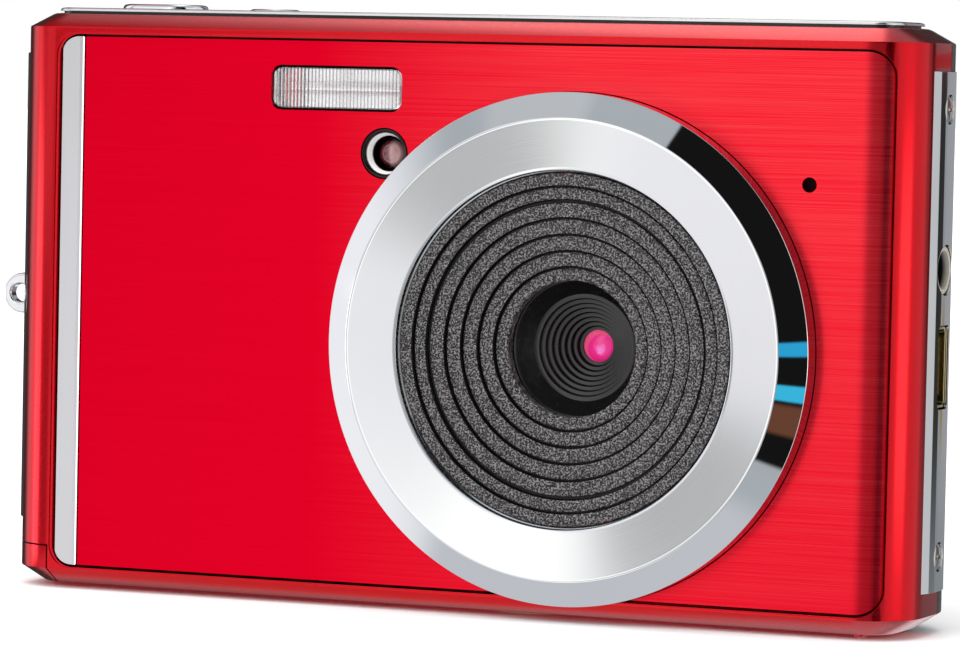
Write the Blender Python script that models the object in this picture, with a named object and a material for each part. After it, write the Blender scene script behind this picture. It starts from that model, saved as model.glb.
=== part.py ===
"""Compact digital camera: a red two-part case, a large stepped lens surround and sprung keys.

Front faces -Y, the release button is at the -X end of the top, +Z is up.
All dimensions below are in millimetres; the mesh helpers turn them into metres.
"""
import bpy
import bmesh
import math
from mathutils import Vector

MM = 0.001
GAP = 0.3

# Case envelope
BODY_LEFT = -48.65
BODY_RIGHT = 46.6
BODY_FRONT = -9.3
BODY_BACK = 10.5
BODY_BOTTOM = 0.35
BODY_TOP = 57.7
FRONT_CORNER = (5.5, 5.8)  # half-axes of the rounded vertical corners, across and in depth
REAR_CORNER = (9.0, 9.5)
EDGE_INSET = 2.5
BOTTOM_EDGE_Z = 1.95
TOP_EDGE_Z = 56.35
CORNER_STEPS = 5
SEAM_Y = 1.2  # joint between the red front half and the black rear half

# Hollow inside the case
HOLLOW_LEFT = -47.05
HOLLOW_RIGHT = 44.8
HOLLOW_FRONT = -6.2
HOLLOW_BACK = 8.7
HOLLOW_BOTTOM = 1.95
HOLLOW_TOP = 55.2
HOLLOW_FRONT_CORNER = (4.0, 2.7)
HOLLOW_REAR_CORNER = (7.5, 7.7)

# Front panel and its recess
PANEL_LEFT = -40.2
PANEL_RIGHT = 43.8
PANEL_BOTTOM = 2.6
PANEL_TOP = 55.25
PANEL_FACE_Y = -8.8
PANEL_THICK = 1.0
PANEL_CORNER = 2.3
STRIP_LEFT = -42.95
STRIP_RIGHT = -40.5
STRIP_CORNER = 1.9

# Lens
LENS_X = 12.47
LENS_Z = 26.32
SURROUND_OUTER = 24.68
SURROUND_RIDGE = 22.12
SURROUND_INNER = 17.23
SURROUND_EDGE_Y = -11.13
SURROUND_RIDGE_Y = -12.51
SURROUND_INNER_Y = -11.91
DISC_RADII = (16.93, 15.55, 14.1, 12.5, 10.93, 9.35, 7.8, 6.6)
DISC_FRONT_Y = -11.35
DISC_STEP = 0.38
DISC_BACK_Y = -7.8
CONE_OUTER = 8.4
CONE_RINGS = 7
LENS_SEGMENTS = 48

# Flash, lamp and microphone
FLASH_LEFT = -19.8
FLASH_RIGHT = -6.1
FLASH_BOTTOM = 48.75
FLASH_TOP = 52.85
LAMP_X = -7.68
LAMP_Z = 44.57
LAMP_HOLE = 2.5
MIC_X = 36.08
MIC_Z = 42.76

# Side strips, sockets and lug
TRIM_FACE_X = 46.9
SOCKET_Y = 0.3
TRIM_RIGHT_Z = (4.25, 53.65)
TRIM_LEFT_Z = (6.6, 53.6)
SCREW_Z = (7.5, 50.1)
JACK_Z = 34.85
USB_Z = 25.6
LUG_Y = -1.0
LUG_Z = 29.15
LUG_RADIUS = 2.1
LUG_TIP_X = -53.05

# Top buttons
TOP_PANEL_Z = 58.3
SHUTTER_X = -36.2
POWER_X = -24.0
TOP_BUTTON_Y = 0.5
SPEAKER_X = 25.0
SPEAKER_Y = -0.7

# Battery door
DOOR_LEFT = -43.7
DOOR_RIGHT = -8.4
DOOR_FRONT = -5.8
DOOR_CAP_TOP = 4.2
HINGE_Y = 6.6
HINGE_Z = 1.9
HINGE_RADIUS = 1.48
PIN_RADIUS = 0.6

# Rear keys
KEY_TIP_Y = 10.95
KEY_BACK_Y = 7.9
FLANGE_FRONT_Y = 8.4
PAD_X = -26.5
PAD_Z = 26.0
ZOOM_X = -27.5
ZOOM_Z = 49.5

# The box around the whole camera is centred on the origin
SHIFT_X = -(LUG_TIP_X + TRIM_FACE_X) / 2
SHIFT_Y = -(SURROUND_RIDGE_Y + KEY_TIP_Y) / 2

PARTS = []


def clear_scene():
    for item in list(bpy.data.objects):
        bpy.data.objects.remove(item, do_unlink=True)


def material(name, colour, roughness, metallic=0.0, transmission=0.0):
    made = bpy.data.materials.new(name)
    made.use_nodes = True
    shader = made.node_tree.nodes["Principled BSDF"]
    shader.inputs["Base Color"].default_value = (*colour, 1.0)
    shader.inputs["Roughness"].default_value = roughness
    shader.inputs["Metallic"].default_value = metallic
    shader.inputs["Transmission Weight"].default_value = transmission
    made.diffuse_color = (*colour, 1.0)
    return made


def mesh_object(name, points, faces):
    """A closed mesh from points in millimetres, faces turned to point outwards."""
    mesh = bpy.data.meshes.new(name)
    mesh.from_pydata([Vector(p) * MM for p in points], [], faces)
    work = bmesh.new()
    work.from_mesh(mesh)
    bmesh.ops.recalc_face_normals(work, faces=work.faces)
    work.to_mesh(mesh)
    work.free()
    made = bpy.data.objects.new(name, mesh)
    bpy.context.scene.collection.objects.link(made)
    return made


def loft(name, sections):
    """Join equal-length closed outlines (lists of 3-D points) and cap both ends."""
    count = len(sections[0])
    points = [p for section in sections for p in section]
    faces = [tuple(range(count))]
    last = (len(sections) - 1) * count
    faces.append(tuple(last + i for i in range(count)))
    for level in range(len(sections) - 1):
        low = level * count
        high = low + count
        for i in range(count):
            j = (i + 1) % count
            faces.append((low + i, low + j, high + j, high + i))
    return mesh_object(name, points, faces)


def prism_z(name, outline, z0, z1):
    return loft(name, [[(x, y, z) for x, y in outline] for z in (z0, z1)])


def prism_y(name, outline, y0, y1):
    return loft(name, [[(x, y, z) for x, z in outline] for y in (y0, y1)])


def prism_x(name, outline, x0, x1):
    return loft(name, [[(x, y, z) for y, z in outline] for x in (x0, x1)])


def box(name, x0, x1, y0, y1, z0, z1):
    return prism_z(name, [(x0, y0), (x1, y0), (x1, y1), (x0, y1)], z0, z1)


def circle(cx, cy, radius, steps=24):
    angles = [2 * math.pi * i / steps for i in range(steps)]
    return [(cx + radius * math.cos(a), cy + radius * math.sin(a)) for a in angles]


def rounded(x0, x1, y0, y1, radii, steps=4):
    """Rectangle with its own radius at each corner: low-right, high-right, high-left, low-left."""
    corners = [(x1, y0, -90, radii[0]), (x1, y1, 0, radii[1])]
    corners += [(x0, y1, 90, radii[2]), (x0, y0, 180, radii[3])]
    outline = []
    for x, y, start, radius in corners:
        cx = x - radius if x == x1 else x + radius
        cy = y - radius if y == y1 else y + radius
        for i in range(steps + 1):
            angle = math.radians(start + 90 * i / steps)
            outline.append((cx + radius * math.cos(angle), cy + radius * math.sin(angle)))
    return outline


def sector(cx, cz, inner, outer, middle, half, steps=8):
    """Piece of a flat ring around a centre, angles in degrees."""
    outline = []
    for i in range(steps + 1):
        angle = math.radians(middle - half + 2 * half * i / steps)
        outline.append((cx + outer * math.cos(angle), cz + outer * math.sin(angle)))
    for i in range(steps, -1, -1):
        angle = math.radians(middle - half + 2 * half * i / steps)
        outline.append((cx + inner * math.cos(angle), cz + inner * math.sin(angle)))
    return outline


def turned(name, profile, cx, cz, segments=LENS_SEGMENTS):
    """Turn a closed (radius, y) profile around a Y axis; radius 0 is a single axis point."""
    points = []
    rings = []
    for radius, y in profile:
        if radius == 0:
            rings.append([len(points)] * segments)
            points.append((cx, y, cz))
            continue
        rings.append(list(range(len(points), len(points) + segments)))
        for x, z in circle(cx, cz, radius, segments):
            points.append((x, y, z))
    faces = []
    for a, b in zip(rings, rings[1:] + rings[:1]):
        if a[0] == a[1] and b[0] == b[1]:
            continue
        for i in range(segments):
            j = (i + 1) % segments
            corner = []
            for index in (a[i], a[j], b[j], b[i]):
                if index not in corner:
                    corner.append(index)
            faces.append(tuple(corner))
    return mesh_object(name, points, faces)


def combine(target, tools, operation):
    """Apply one Boolean per tool, then drop the tools."""
    for tool in tools:
        step = target.modifiers.new("step", "BOOLEAN")
        step.operation = operation
        step.solver = "EXACT"
        step.object = tool
        graph = bpy.context.evaluated_depsgraph_get()
        result = bpy.data.meshes.new_from_object(target.evaluated_get(graph))
        target.modifiers.clear()
        target.data = result
        bpy.data.objects.remove(tool, do_unlink=True)
    work = bmesh.new()
    work.from_mesh(target.data)
    bmesh.ops.remove_doubles(work, verts=work.verts, dist=0.000002)
    bmesh.ops.dissolve_degenerate(work, edges=work.edges, dist=0.000002)
    work.to_mesh(target.data)
    work.free()
    return target


def cut(target, *tools):
    return combine(target, tools, "DIFFERENCE")


def join(target, *tools):
    return combine(target, tools, "UNION")


def keep(target, *tools):
    return combine(target, tools, "INTERSECT")


def finish(part, name, look, smooth=True):
    """Name the part, give it its own material and shade it."""
    part.name = name
    part.data.name = name
    part.data.materials.clear()
    part.data.materials.append(material(name + "_finish", *look))
    if smooth:
        for face in part.data.polygons:
            face.use_smooth = True
        part.data.set_sharp_from_angle(angle=math.radians(30))
    PARTS.append(part)
    return part


def case_outline(inset):
    """Plan view of the case: tight front corners and long swept rear corners."""
    return plan(BODY_LEFT, BODY_RIGHT, BODY_FRONT, BODY_BACK, FRONT_CORNER, REAR_CORNER, inset)


def plan(left, right, front, back, front_corner, rear_corner, inset=0.0):
    left, right = left + inset, right - inset
    front, back = front + inset, back - inset
    fa, fb = front_corner[0] - inset, front_corner[1] - inset
    ra, rb = rear_corner[0] - inset, rear_corner[1] - inset
    arcs = [(right - fa, front + fb, fa, fb, -90), (right - ra, back - rb, ra, rb, 0)]
    arcs += [(left + ra, back - rb, ra, rb, 90), (left + fa, front + fb, fa, fb, 180)]
    outline = []
    for cx, cy, a, b, start in arcs:
        for i in range(CORNER_STEPS + 1):
            angle = math.radians(start + 90 * i / CORNER_STEPS)
            outline.append((cx + a * math.cos(angle), cy + b * math.sin(angle)))
    return outline


def case_solid(name):
    levels = [(BODY_BOTTOM, EDGE_INSET), (BOTTOM_EDGE_Z, 0), (TOP_EDGE_Z, 0), (BODY_TOP, EDGE_INSET)]
    return loft(name, [[(x, y, z) for x, y in case_outline(inset)] for z, inset in levels])


def hollow_outline():
    sides = (HOLLOW_LEFT, HOLLOW_RIGHT, HOLLOW_FRONT, HOLLOW_BACK)
    return plan(*sides, HOLLOW_FRONT_CORNER, HOLLOW_REAR_CORNER)


def hollow(name):
    return prism_z(name, hollow_outline(), HOLLOW_BOTTOM, HOLLOW_TOP)


def bent_sheet(name, left, right, depth_front, depth_back, z0, z1):
    """Sheet that lies a given depth under the case front and follows its right corner."""
    centre_x = BODY_RIGHT - FRONT_CORNER[0]
    centre_y = BODY_FRONT + FRONT_CORNER[1]
    def surface(x, depth):
        if depth is None:
            return -30.0
        if x <= centre_x:
            return BODY_FRONT + depth
        part = (x - centre_x) / (FRONT_CORNER[0] - depth)
        return centre_y - (FRONT_CORNER[1] - depth) * math.sqrt(1 - part * part)
    bend = [centre_x + (right - centre_x) * i / 6 for i in range(7)]
    across = [left] + bend
    outline = [(x, surface(x, depth_front)) for x in across]
    outline += [(x, surface(x, depth_back)) for x in reversed(across)]
    return prism_z(name, outline, z0, z1)


def recess_tool():
    tool = bent_sheet("recess", STRIP_LEFT - GAP, PANEL_RIGHT + GAP, None, 1.8, 0, 60)
    radii = (PANEL_CORNER, PANEL_CORNER, STRIP_CORNER, STRIP_CORNER)
    edge = rounded(STRIP_LEFT - GAP, PANEL_RIGHT + GAP, PANEL_BOTTOM - GAP, PANEL_TOP + GAP, radii)
    return keep(tool, prism_y("edge", edge, -40, 0))


def front_holes():
    """Flash, lamp and microphone holes, the same in the front cover's floor and in the front panel."""
    flash = rounded(FLASH_LEFT - GAP, FLASH_RIGHT + GAP, FLASH_BOTTOM - GAP, FLASH_TOP + GAP, (1.0,) * 4)
    return [
        prism_y("flash_hole", flash, -12, -6),
        prism_y("lamp_hole", circle(LAMP_X, LAMP_Z, LAMP_HOLE), -12, -6),
        prism_y("mic_hole", circle(MIC_X, MIC_Z, 0.7, 16), -12, -6),
    ]


def door_opening():
    """Space for the battery door: its floor plate and the cap round the left corner."""
    return [
        box("door_floor", DOOR_LEFT - GAP, DOOR_RIGHT + GAP, DOOR_FRONT - GAP, HOLLOW_BACK, -1, 2.5),
        box("door_cap", -60, DOOR_LEFT + GAP, -20, HOLLOW_BACK, -1, HINGE_Z + HINGE_RADIUS + GAP),
        box("door_rod", -60, -39.0, HINGE_Y - 2, HOLLOW_BACK, -1, HINGE_Z + HINGE_RADIUS + GAP),
        box("door_cap_high", -60, DOOR_LEFT + GAP, -20, HINGE_Y + GAP, 0, DOOR_CAP_TOP + GAP),
    ]


def trim_pockets():
    """Shallow channels in the case sides for the two trim strips."""
    low_r, high_r = TRIM_RIGHT_Z[0] - GAP, TRIM_RIGHT_Z[1] + GAP
    low_l, high_l = TRIM_LEFT_Z[0] - GAP, TRIM_LEFT_Z[1] + GAP
    return [
        box("pocket_r", 45.3, 60, -4.2, 3.6, low_r, high_r),
        box("pocket_l", -60, -47.35, -5.2, 2.1, low_l, high_l),
    ]


def side_holes():
    made = [prism_x("screw_hole", circle(SOCKET_Y, z, 1.0, 20), 42, 50) for z in SCREW_Z]
    made.append(prism_x("jack_hole", circle(SOCKET_Y, JACK_Z, 2.6, 28), 42, 50))
    usb = rounded(SOCKET_Y - 1.85, SOCKET_Y + 1.85, USB_Z - 4.2, USB_Z + 4.2, (0.8,) * 4)
    made.append(prism_x("usb_hole", usb, 42, 50))
    return made


def stadium(cx, cy, length, width, steps=8):
    radius = width / 2
    reach = length / 2 - radius
    outline = []
    for side, start in ((1, -90), (-1, 90)):
        for i in range(steps + 1):
            angle = math.radians(start + 180 * i / steps)
            outline.append((cx + side * reach + radius * math.cos(angle), cy + radius * math.sin(angle)))
    return outline


def speaker_holes():
    spots = [(SPEAKER_X, SPEAKER_Y)] + circle(SPEAKER_X, SPEAKER_Y, 2.2, 6)
    return [prism_z("grille", circle(x, y, 0.45, 8), 54, 60) for x, y in spots]


def top_holes():
    made = [prism_z("shutter_hole", stadium(SHUTTER_X, TOP_BUTTON_Y, 9.5, 6.4), 54, 60)]
    made.append(prism_z("power_hole", circle(POWER_X, TOP_BUTTON_Y, 2.8), 54, 60))
    return made + speaker_holes()


def cover_base(name, front):
    """One half of the case with everything both halves share."""
    shell = case_solid(name)
    if front:
        waste = box("waste", -70, 70, SEAM_Y - GAP / 2, 40, -10, 80)
    else:
        waste = box("waste", -70, 70, -40, SEAM_Y + GAP / 2, -10, 80)
    cut(shell, waste, hollow("hollow"))
    top_pocket = prism_z("top_pocket", case_outline(2.8), 56.7, 60)
    bush_hole = prism_z("bush_hole", circle(6.0, 0.8, 5.5), -1, 3)
    cut(shell, top_pocket, bush_hole, *trim_pockets(), *side_holes(), *door_opening(), *top_holes())
    return shell


def foot(x, y, top):
    return prism_z("foot", circle(x, y, 0.7, 14), 0.0, top)


def front_cover():
    shell = cover_base("front_cover", True)
    lens_hole = prism_y("lens_hole", circle(LENS_X, LENS_Z, 8.75, 48), -12, -5)
    seat = prism_y("seat", circle(LENS_X, LENS_Z, SURROUND_OUTER + GAP, LENS_SEGMENTS), -20, -7.5)
    cut(shell, recess_tool(), seat, lens_hole, *front_holes())
    join(shell, foot(41.0, -5.0, 0.8))
    finish(shell, "front_cover", ((0.62, 0.012, 0.022), 0.24, 0.6))


def front_panel():
    sheet = bent_sheet("front_panel", PANEL_LEFT, PANEL_RIGHT, 0.5, 1.5, 0, 60)
    radii = (PANEL_CORNER, PANEL_CORNER, 0.2, 0.2)
    edge = rounded(PANEL_LEFT, PANEL_RIGHT, PANEL_BOTTOM, PANEL_TOP, radii)
    keep(sheet, prism_y("edge", edge, -40, 0))
    seat = prism_y("seat", circle(LENS_X, LENS_Z, SURROUND_OUTER + GAP, LENS_SEGMENTS), -20, 0)
    cut(sheet, seat, *front_holes())
    finish(sheet, "front_panel", ((0.78, 0.01, 0.035), 0.34, 0.75))


def panel_strip():
    face = PANEL_FACE_Y
    section = [(STRIP_LEFT, face + 0.05), (STRIP_LEFT + 0.25, face - 0.1), (STRIP_RIGHT - 0.6, face - 0.1)]
    section += [(STRIP_RIGHT - 0.4, face - 0.3), (STRIP_RIGHT - 0.1, face - 0.3)]
    section += [(STRIP_RIGHT, face - 0.1), (STRIP_RIGHT, face + 1.0), (STRIP_LEFT, face + 1.0)]
    strip = prism_z("panel_strip", section, 0, 60)
    radii = (0.15, 0.15, STRIP_CORNER - 0.1, STRIP_CORNER - 0.1)
    edge = rounded(STRIP_LEFT, STRIP_RIGHT, PANEL_BOTTOM, PANEL_TOP, radii)
    keep(strip, prism_y("edge", edge, -40, 0))
    finish(strip, "panel_strip", ((0.86, 0.87, 0.88), 0.16, 1.0))


def lens_surround():
    profile = [(SURROUND_OUTER, DISC_BACK_Y), (SURROUND_OUTER, SURROUND_EDGE_Y + 0.25)]
    profile += [(SURROUND_OUTER - 0.2, SURROUND_EDGE_Y), (SURROUND_RIDGE + 0.12, SURROUND_RIDGE_Y + 0.04)]
    profile += [(SURROUND_RIDGE - 0.12, SURROUND_RIDGE_Y + 0.01), (SURROUND_INNER + 0.1, SURROUND_INNER_Y)]
    profile += [(SURROUND_INNER, SURROUND_INNER_Y + 0.1), (SURROUND_INNER, DISC_BACK_Y)]
    ring = turned("lens_surround", profile, LENS_X, LENS_Z, 64)
    finish(ring, "lens_surround", ((0.88, 0.89, 0.9), 0.09, 1.0))


def lens_disc():
    """Disc whose face steps down towards the middle."""
    profile = [(DISC_RADII[0], DISC_BACK_Y), (DISC_RADII[0], DISC_FRONT_Y)]
    for index, radius in enumerate(DISC_RADII[1:]):
        level = DISC_FRONT_Y + DISC_STEP * index
        profile.append((radius, level))
        if index < len(DISC_RADII) - 2:
            profile.append((radius - 0.06, level + DISC_STEP))
    profile.append((DISC_RADII[-1], DISC_BACK_Y))
    disc = turned("lens_disc", profile, LENS_X, LENS_Z)
    finish(disc, "lens_disc", ((0.045, 0.042, 0.044), 0.55))


def lens_cone():
    """Funnel with fine rings that leads down to the lens."""
    profile = [(CONE_OUTER, -4.9), (CONE_OUTER, -7.5), (6.5, -7.5), (5.1, -5.4), (4.78, -5.4)]
    radius = 4.78
    y = -5.4
    for index in range(CONE_RINGS):
        y += 0.5
        profile.append((radius, y))
        radius -= 0.43
        profile.append((radius, y))
    profile += [(radius, y + 0.3), (3.4, y + 0.3)]
    cone = turned("lens_cone", profile, LENS_X, LENS_Z, 32)
    finish(cone, "lens_cone", ((0.012, 0.012, 0.014), 0.22))


def dome(name, radius, rise, front_y, back_y, cx, cz, segments=20, skirt=0.0):
    """Solid with a bulged front face."""
    profile = [(0, back_y), (radius + skirt, back_y), (radius + skirt, front_y + rise)]
    if skirt:
        profile.append((radius, front_y + rise))
    for i in range(1, 4):
        angle = math.radians(90 * i / 4)
        profile.append((radius * math.cos(angle), front_y + rise * (1 - math.sin(angle))))
    profile.append((0, front_y))
    return turned(name, profile, cx, cz, segments)


def optics():
    lens = dome("front_lens", 1.45, 0.45, -1.6, -0.35, LENS_X, LENS_Z, skirt=1.1)
    finish(lens, "front_lens", ((0.75, 0.05, 0.3), 0.05, 0.0, 0.3))
    tube = [(5.5, 2.6), (5.5, -1.0), (2.9, -1.0), (2.9, 2.6)]
    finish(turned("lens_barrel", tube, LENS_X, LENS_Z, 24), "lens_barrel", ((0.03, 0.03, 0.03), 0.5))
    rear = prism_y("rear_lens", circle(LENS_X, LENS_Z, 2.6), 0.3, 1.5)
    finish(rear, "rear_lens", ((0.6, 0.75, 0.8), 0.05, 0.0, 0.8))
    chip = box("image_sensor", LENS_X - 3.4, LENS_X + 3.4, 2.95, 3.95, LENS_Z - 3.4, LENS_Z + 3.4)
    finish(chip, "image_sensor", ((0.08, 0.1, 0.13), 0.2, 0.3), False)


def flash_unit():
    edge = rounded(FLASH_LEFT, FLASH_RIGHT, FLASH_BOTTOM, FLASH_TOP, (0.7,) * 4)
    window = prism_y("flash_window", edge, -8.85, -6.5)
    finish(window, "flash_window", ((0.9, 0.91, 0.92), 0.12, 0.0, 0.7))
    trough = box("flash_reflector", FLASH_LEFT - 0.7, FLASH_RIGHT + 0.7, -5.9, -2.4,
                 FLASH_BOTTOM - 0.7, FLASH_TOP + 0.7)
    hollow_out = box("inside", FLASH_LEFT, FLASH_RIGHT, -7, -3.0, FLASH_BOTTOM, FLASH_TOP)
    cut(trough, hollow_out)
    finish(trough, "flash_reflector", ((0.8, 0.8, 0.8), 0.2, 0.9), False)
    middle = (FLASH_BOTTOM + FLASH_TOP) / 2
    tube = prism_x("flash_tube", circle(-4.5, middle, 0.9, 20), FLASH_LEFT + 0.6, FLASH_RIGHT - 0.6)
    finish(tube, "flash_tube", ((0.95, 0.95, 0.95), 0.05, 0.0, 0.8))
    can = prism_z("flash_capacitor", circle(31.0, -1.5, 3.2, 28), 8.0, 34.0)
    finish(can, "flash_capacitor", ((0.02, 0.02, 0.025), 0.35))


def timer_lamp():
    profile = [(2.2, -6.3), (2.2, -8.65), (2.0, -8.65), (1.5, -7.2), (1.5, -6.3)]
    finish(turned("lamp_bezel", profile, LAMP_X, LAMP_Z, 24), "lamp_bezel", ((0.8, 0.78, 0.78), 0.12, 1.0))
    lens = dome("lamp_lens", 1.2, 0.9, -7.45, -5.9, LAMP_X, LAMP_Z, 20)
    finish(lens, "lamp_lens", ((0.75, 0.25, 0.28), 0.1, 0.0, 0.4))
    led = box("timer_led", LAMP_X - 1.2, LAMP_X + 1.2, -5.5, -4.2, LAMP_Z - 1.2, LAMP_Z + 1.2)
    finish(led, "timer_led", ((0.75, 0.1, 0.08), 0.3), False)


def sound_parts():
    capsule = prism_y("microphone", circle(MIC_X, MIC_Z, 2.0, 24), -5.85, -4.3)
    finish(capsule, "microphone", ((0.5, 0.5, 0.5), 0.35, 0.8))
    cone = prism_z("speaker", circle(SPEAKER_X, SPEAKER_Y, 4.5, 32), 51.9, 54.6)
    finish(cone, "speaker", ((0.05, 0.05, 0.05), 0.5))


def side_trims():
    section = [(46.45, -3.9), (TRIM_FACE_X, -2.4), (TRIM_FACE_X, 2.5), (46.4, 3.3), (45.6, 3.3), (45.6, -3.9)]
    right = prism_z("side_trim_right", section, *TRIM_RIGHT_Z)
    seats = [prism_x("seat", circle(SOCKET_Y, z, 1.6, 24), 46.1, 50) for z in SCREW_Z]
    cut(right, *side_holes(), *seats)
    finish(right, "side_trim_right", ((0.72, 0.73, 0.75), 0.12, 1.0))
    section = [(-48.45, -4.9), (-49.6, -3.6), (-49.6, 0.4), (-48.3, 1.8), (-47.65, 1.8), (-47.65, -4.9)]
    left = prism_z("side_trim_left", section, *TRIM_LEFT_Z)
    slot = box("slot", -51, -46, LUG_Y - 1.0, LUG_Y + 1.0, LUG_Z - 2.4, LUG_Z + 2.4)
    cut(left, slot)
    finish(left, "side_trim_left", ((0.72, 0.73, 0.75), 0.12, 1.0))


def trim_screws():
    for name, z in zip(("trim_screw_lower", "trim_screw_upper"), SCREW_Z):
        screw = prism_x(name, circle(SOCKET_Y, z, 1.3, 24), 46.4, TRIM_FACE_X)
        join(screw, prism_x("shank", circle(SOCKET_Y, z, 0.7, 16), 42.6, 46.6))
        slot = box("slot", 46.65, 48, SOCKET_Y - 0.15, SOCKET_Y + 0.15, z - 0.8, z + 0.8)
        cross = box("cross", 46.65, 48, SOCKET_Y - 0.8, SOCKET_Y + 0.8, z - 0.15, z + 0.15)
        cut(screw, slot, cross)
        finish(screw, name, ((0.7, 0.68, 0.65), 0.2, 1.0))


def sockets():
    jack = box("jack_socket", 37.0, 44.2, SOCKET_Y - 2.6, SOCKET_Y + 2.6, JACK_Z - 2.6, JACK_Z + 2.6)
    join(jack, prism_x("nose", circle(SOCKET_Y, JACK_Z, 2.3, 28), 43.5, 46.7))
    cut(jack, prism_x("bore", circle(SOCKET_Y, JACK_Z, 1.8, 24), 38.5, 50))
    finish(jack, "jack_socket", ((0.55, 0.5, 0.38), 0.35))
    usb = box("usb_socket", 38.0, 44.2, SOCKET_Y - 2.0, SOCKET_Y + 2.0, USB_Z - 4.3, USB_Z + 4.3)
    nose = rounded(SOCKET_Y - 1.5, SOCKET_Y + 1.5, USB_Z - 3.85, USB_Z + 3.85, (0.6,) * 4)
    join(usb, prism_x("nose", nose, 43.5, 46.6))
    mouth = rounded(SOCKET_Y - 1.15, SOCKET_Y + 1.15, USB_Z - 3.5, USB_Z + 3.5, (0.4,) * 4)
    cut(usb, prism_x("mouth", mouth, 39.0, 50))
    join(usb, box("tongue", 38.5, 45.6, SOCKET_Y - 0.3, SOCKET_Y + 0.3, USB_Z - 2.6, USB_Z + 2.6))
    finish(usb, "usb_socket", ((0.6, 0.6, 0.58), 0.3, 0.8))


def strap_lug():
    centre_x = LUG_TIP_X + LUG_RADIUS
    outline = [(-47.75, LUG_Z - LUG_RADIUS), (-47.75, LUG_Z + LUG_RADIUS)]
    for i in range(13):
        angle = math.radians(90 + 180 * i / 12)
        outline.append((centre_x + LUG_RADIUS * math.cos(angle), LUG_Z + LUG_RADIUS * math.sin(angle)))
    lug = prism_y("strap_lug", outline, LUG_Y - 0.7, LUG_Y + 0.7)
    cut(lug, prism_y("eye", circle(centre_x - 0.3, LUG_Z, 0.95, 20), -5, 5))
    finish(lug, "strap_lug", ((0.8, 0.8, 0.8), 0.15, 1.0))


def battery_door():
    """Floor plate, corner cap and hinge barrel in one piece, turning about the pin."""
    door = case_solid("battery_door")
    region = box("plate", DOOR_LEFT - 2, DOOR_RIGHT, DOOR_FRONT, HINGE_Y, -1, BOTTOM_EDGE_Z)
    join(region, box("cap", -60, DOOR_LEFT, -20, HINGE_Y, -1, DOOR_CAP_TOP))
    keep(door, region)
    cut(door, prism_z("inside", hollow_outline(), BOTTOM_EDGE_Z, 10))
    barrel = circle(HINGE_Y, HINGE_Z, HINGE_RADIUS, 28)
    end = keep(case_solid("end"), prism_x("end_rod", barrel, -60, -39.8))
    blocks = [(-39.5, -33.8), (-12.9, 0.0)]
    for x0, x1 in blocks:
        cut(door, box("notch", x0, x1, HINGE_Y - 1.8, 12, -1, 4))
    join(door, end, prism_x("knuckle", barrel, -33.8, -12.9))
    cut(door, prism_x("bore", circle(HINGE_Y, HINGE_Z, PIN_RADIUS + GAP, 24), -43.4, 0))
    join(door, foot(-38.0, -3.5, 0.8), foot(-38.0, 3.5, 0.8))
    grip = [box("grip", -41.5 + 1.1 * i, -41.0 + 1.1 * i, -2.5, 2.5, -1, 0.65) for i in range(5)]
    cut(door, *grip)
    finish(door, "battery_door", ((0.58, 0.012, 0.022), 0.26, 0.6))
    pin = prism_x("door_pin", circle(HINGE_Y, HINGE_Z, PIN_RADIUS, 20), -40.2, -8.7)
    finish(pin, "door_pin", ((0.7, 0.7, 0.7), 0.25, 1.0))


def inner_frame():
    """Moulded frame: battery bay, plate round the lens and the hinge bearings."""
    frame = box("inner_frame", -42.8, -8.4, -5.7, 4.0, 4.0, 42.0)
    cut(frame, box("bay", -41.4, -9.6, -8, 6, 0, 41.0))
    plate = box("lens_plate", -8.6, 24.0, -5.7, -4.75, 12.0, 40.5)
    cut(plate, prism_y("lens_hole", circle(LENS_X, LENS_Z, CONE_OUTER + 0.35, 40), -8, 0))
    join(frame, plate)
    for x0, x1, side in ((-39.2, -36.6, -42.8), (-12.6, -8.7, -9.6)):
        arm = box("arm", min(x0, side), max(x1, side), 3.75, HINGE_Y - 0.7, 3.85, 4.7)
        tie = box("tie", side, side + 1.2, 2.0, HINGE_Y - 0.8, 3.9, 4.65)
        bearing = prism_x("bearing", circle(HINGE_Y, HINGE_Z, 1.5, 24), x0, x1)
        web = box("web", x0, x1, HINGE_Y - 1.2, HINGE_Y + 1.2, HINGE_Z, 4.5)
        join(frame, arm, tie, join(bearing, web))
    cut(frame, prism_x("bore", circle(HINGE_Y, HINGE_Z, PIN_RADIUS + GAP, 20), -60, 0))
    finish(frame, "inner_frame", ((0.09, 0.09, 0.095), 0.6), False)


def top_parts():
    levels = [(57.0, 3.1), (TOP_PANEL_Z - 0.3, 3.1), (TOP_PANEL_Z, 3.5)]
    panel = loft("top_cover", [[(x, y, z) for x, y in case_outline(i)] for z, i in levels])
    cut(panel, *top_holes())
    finish(panel, "top_cover", ((0.78, 0.78, 0.8), 0.25, 0.9))
    sections = [(54.4, 1.4), (54.9, 1.4), (54.9, 0.0), (58.55, 0.0), (58.8, -0.8)]
    outlines = [[(x, y, z) for x, y in stadium(SHUTTER_X, TOP_BUTTON_Y, 8.9 + g, 5.8 + g)] for z, g in sections]
    finish(loft("shutter_button", outlines), "shutter_button", ((0.85, 0.86, 0.88), 0.1, 1.0))
    sections = [(54.4, 3.2), (54.9, 3.2), (54.9, 2.5), (58.3, 2.5), (58.5, 2.2)]
    outlines = [[(x, y, z) for x, y in circle(POWER_X, TOP_BUTTON_Y, r, 28)] for z, r in sections]
    finish(loft("power_button", outlines), "power_button", ((0.75, 0.76, 0.78), 0.15, 1.0))
    board = box("button_board", -41.0, -19.0, -1.9, 4.0, 52.0, 53.0)
    finish(board, "button_board", ((0.02, 0.16, 0.06), 0.5), False)


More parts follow.
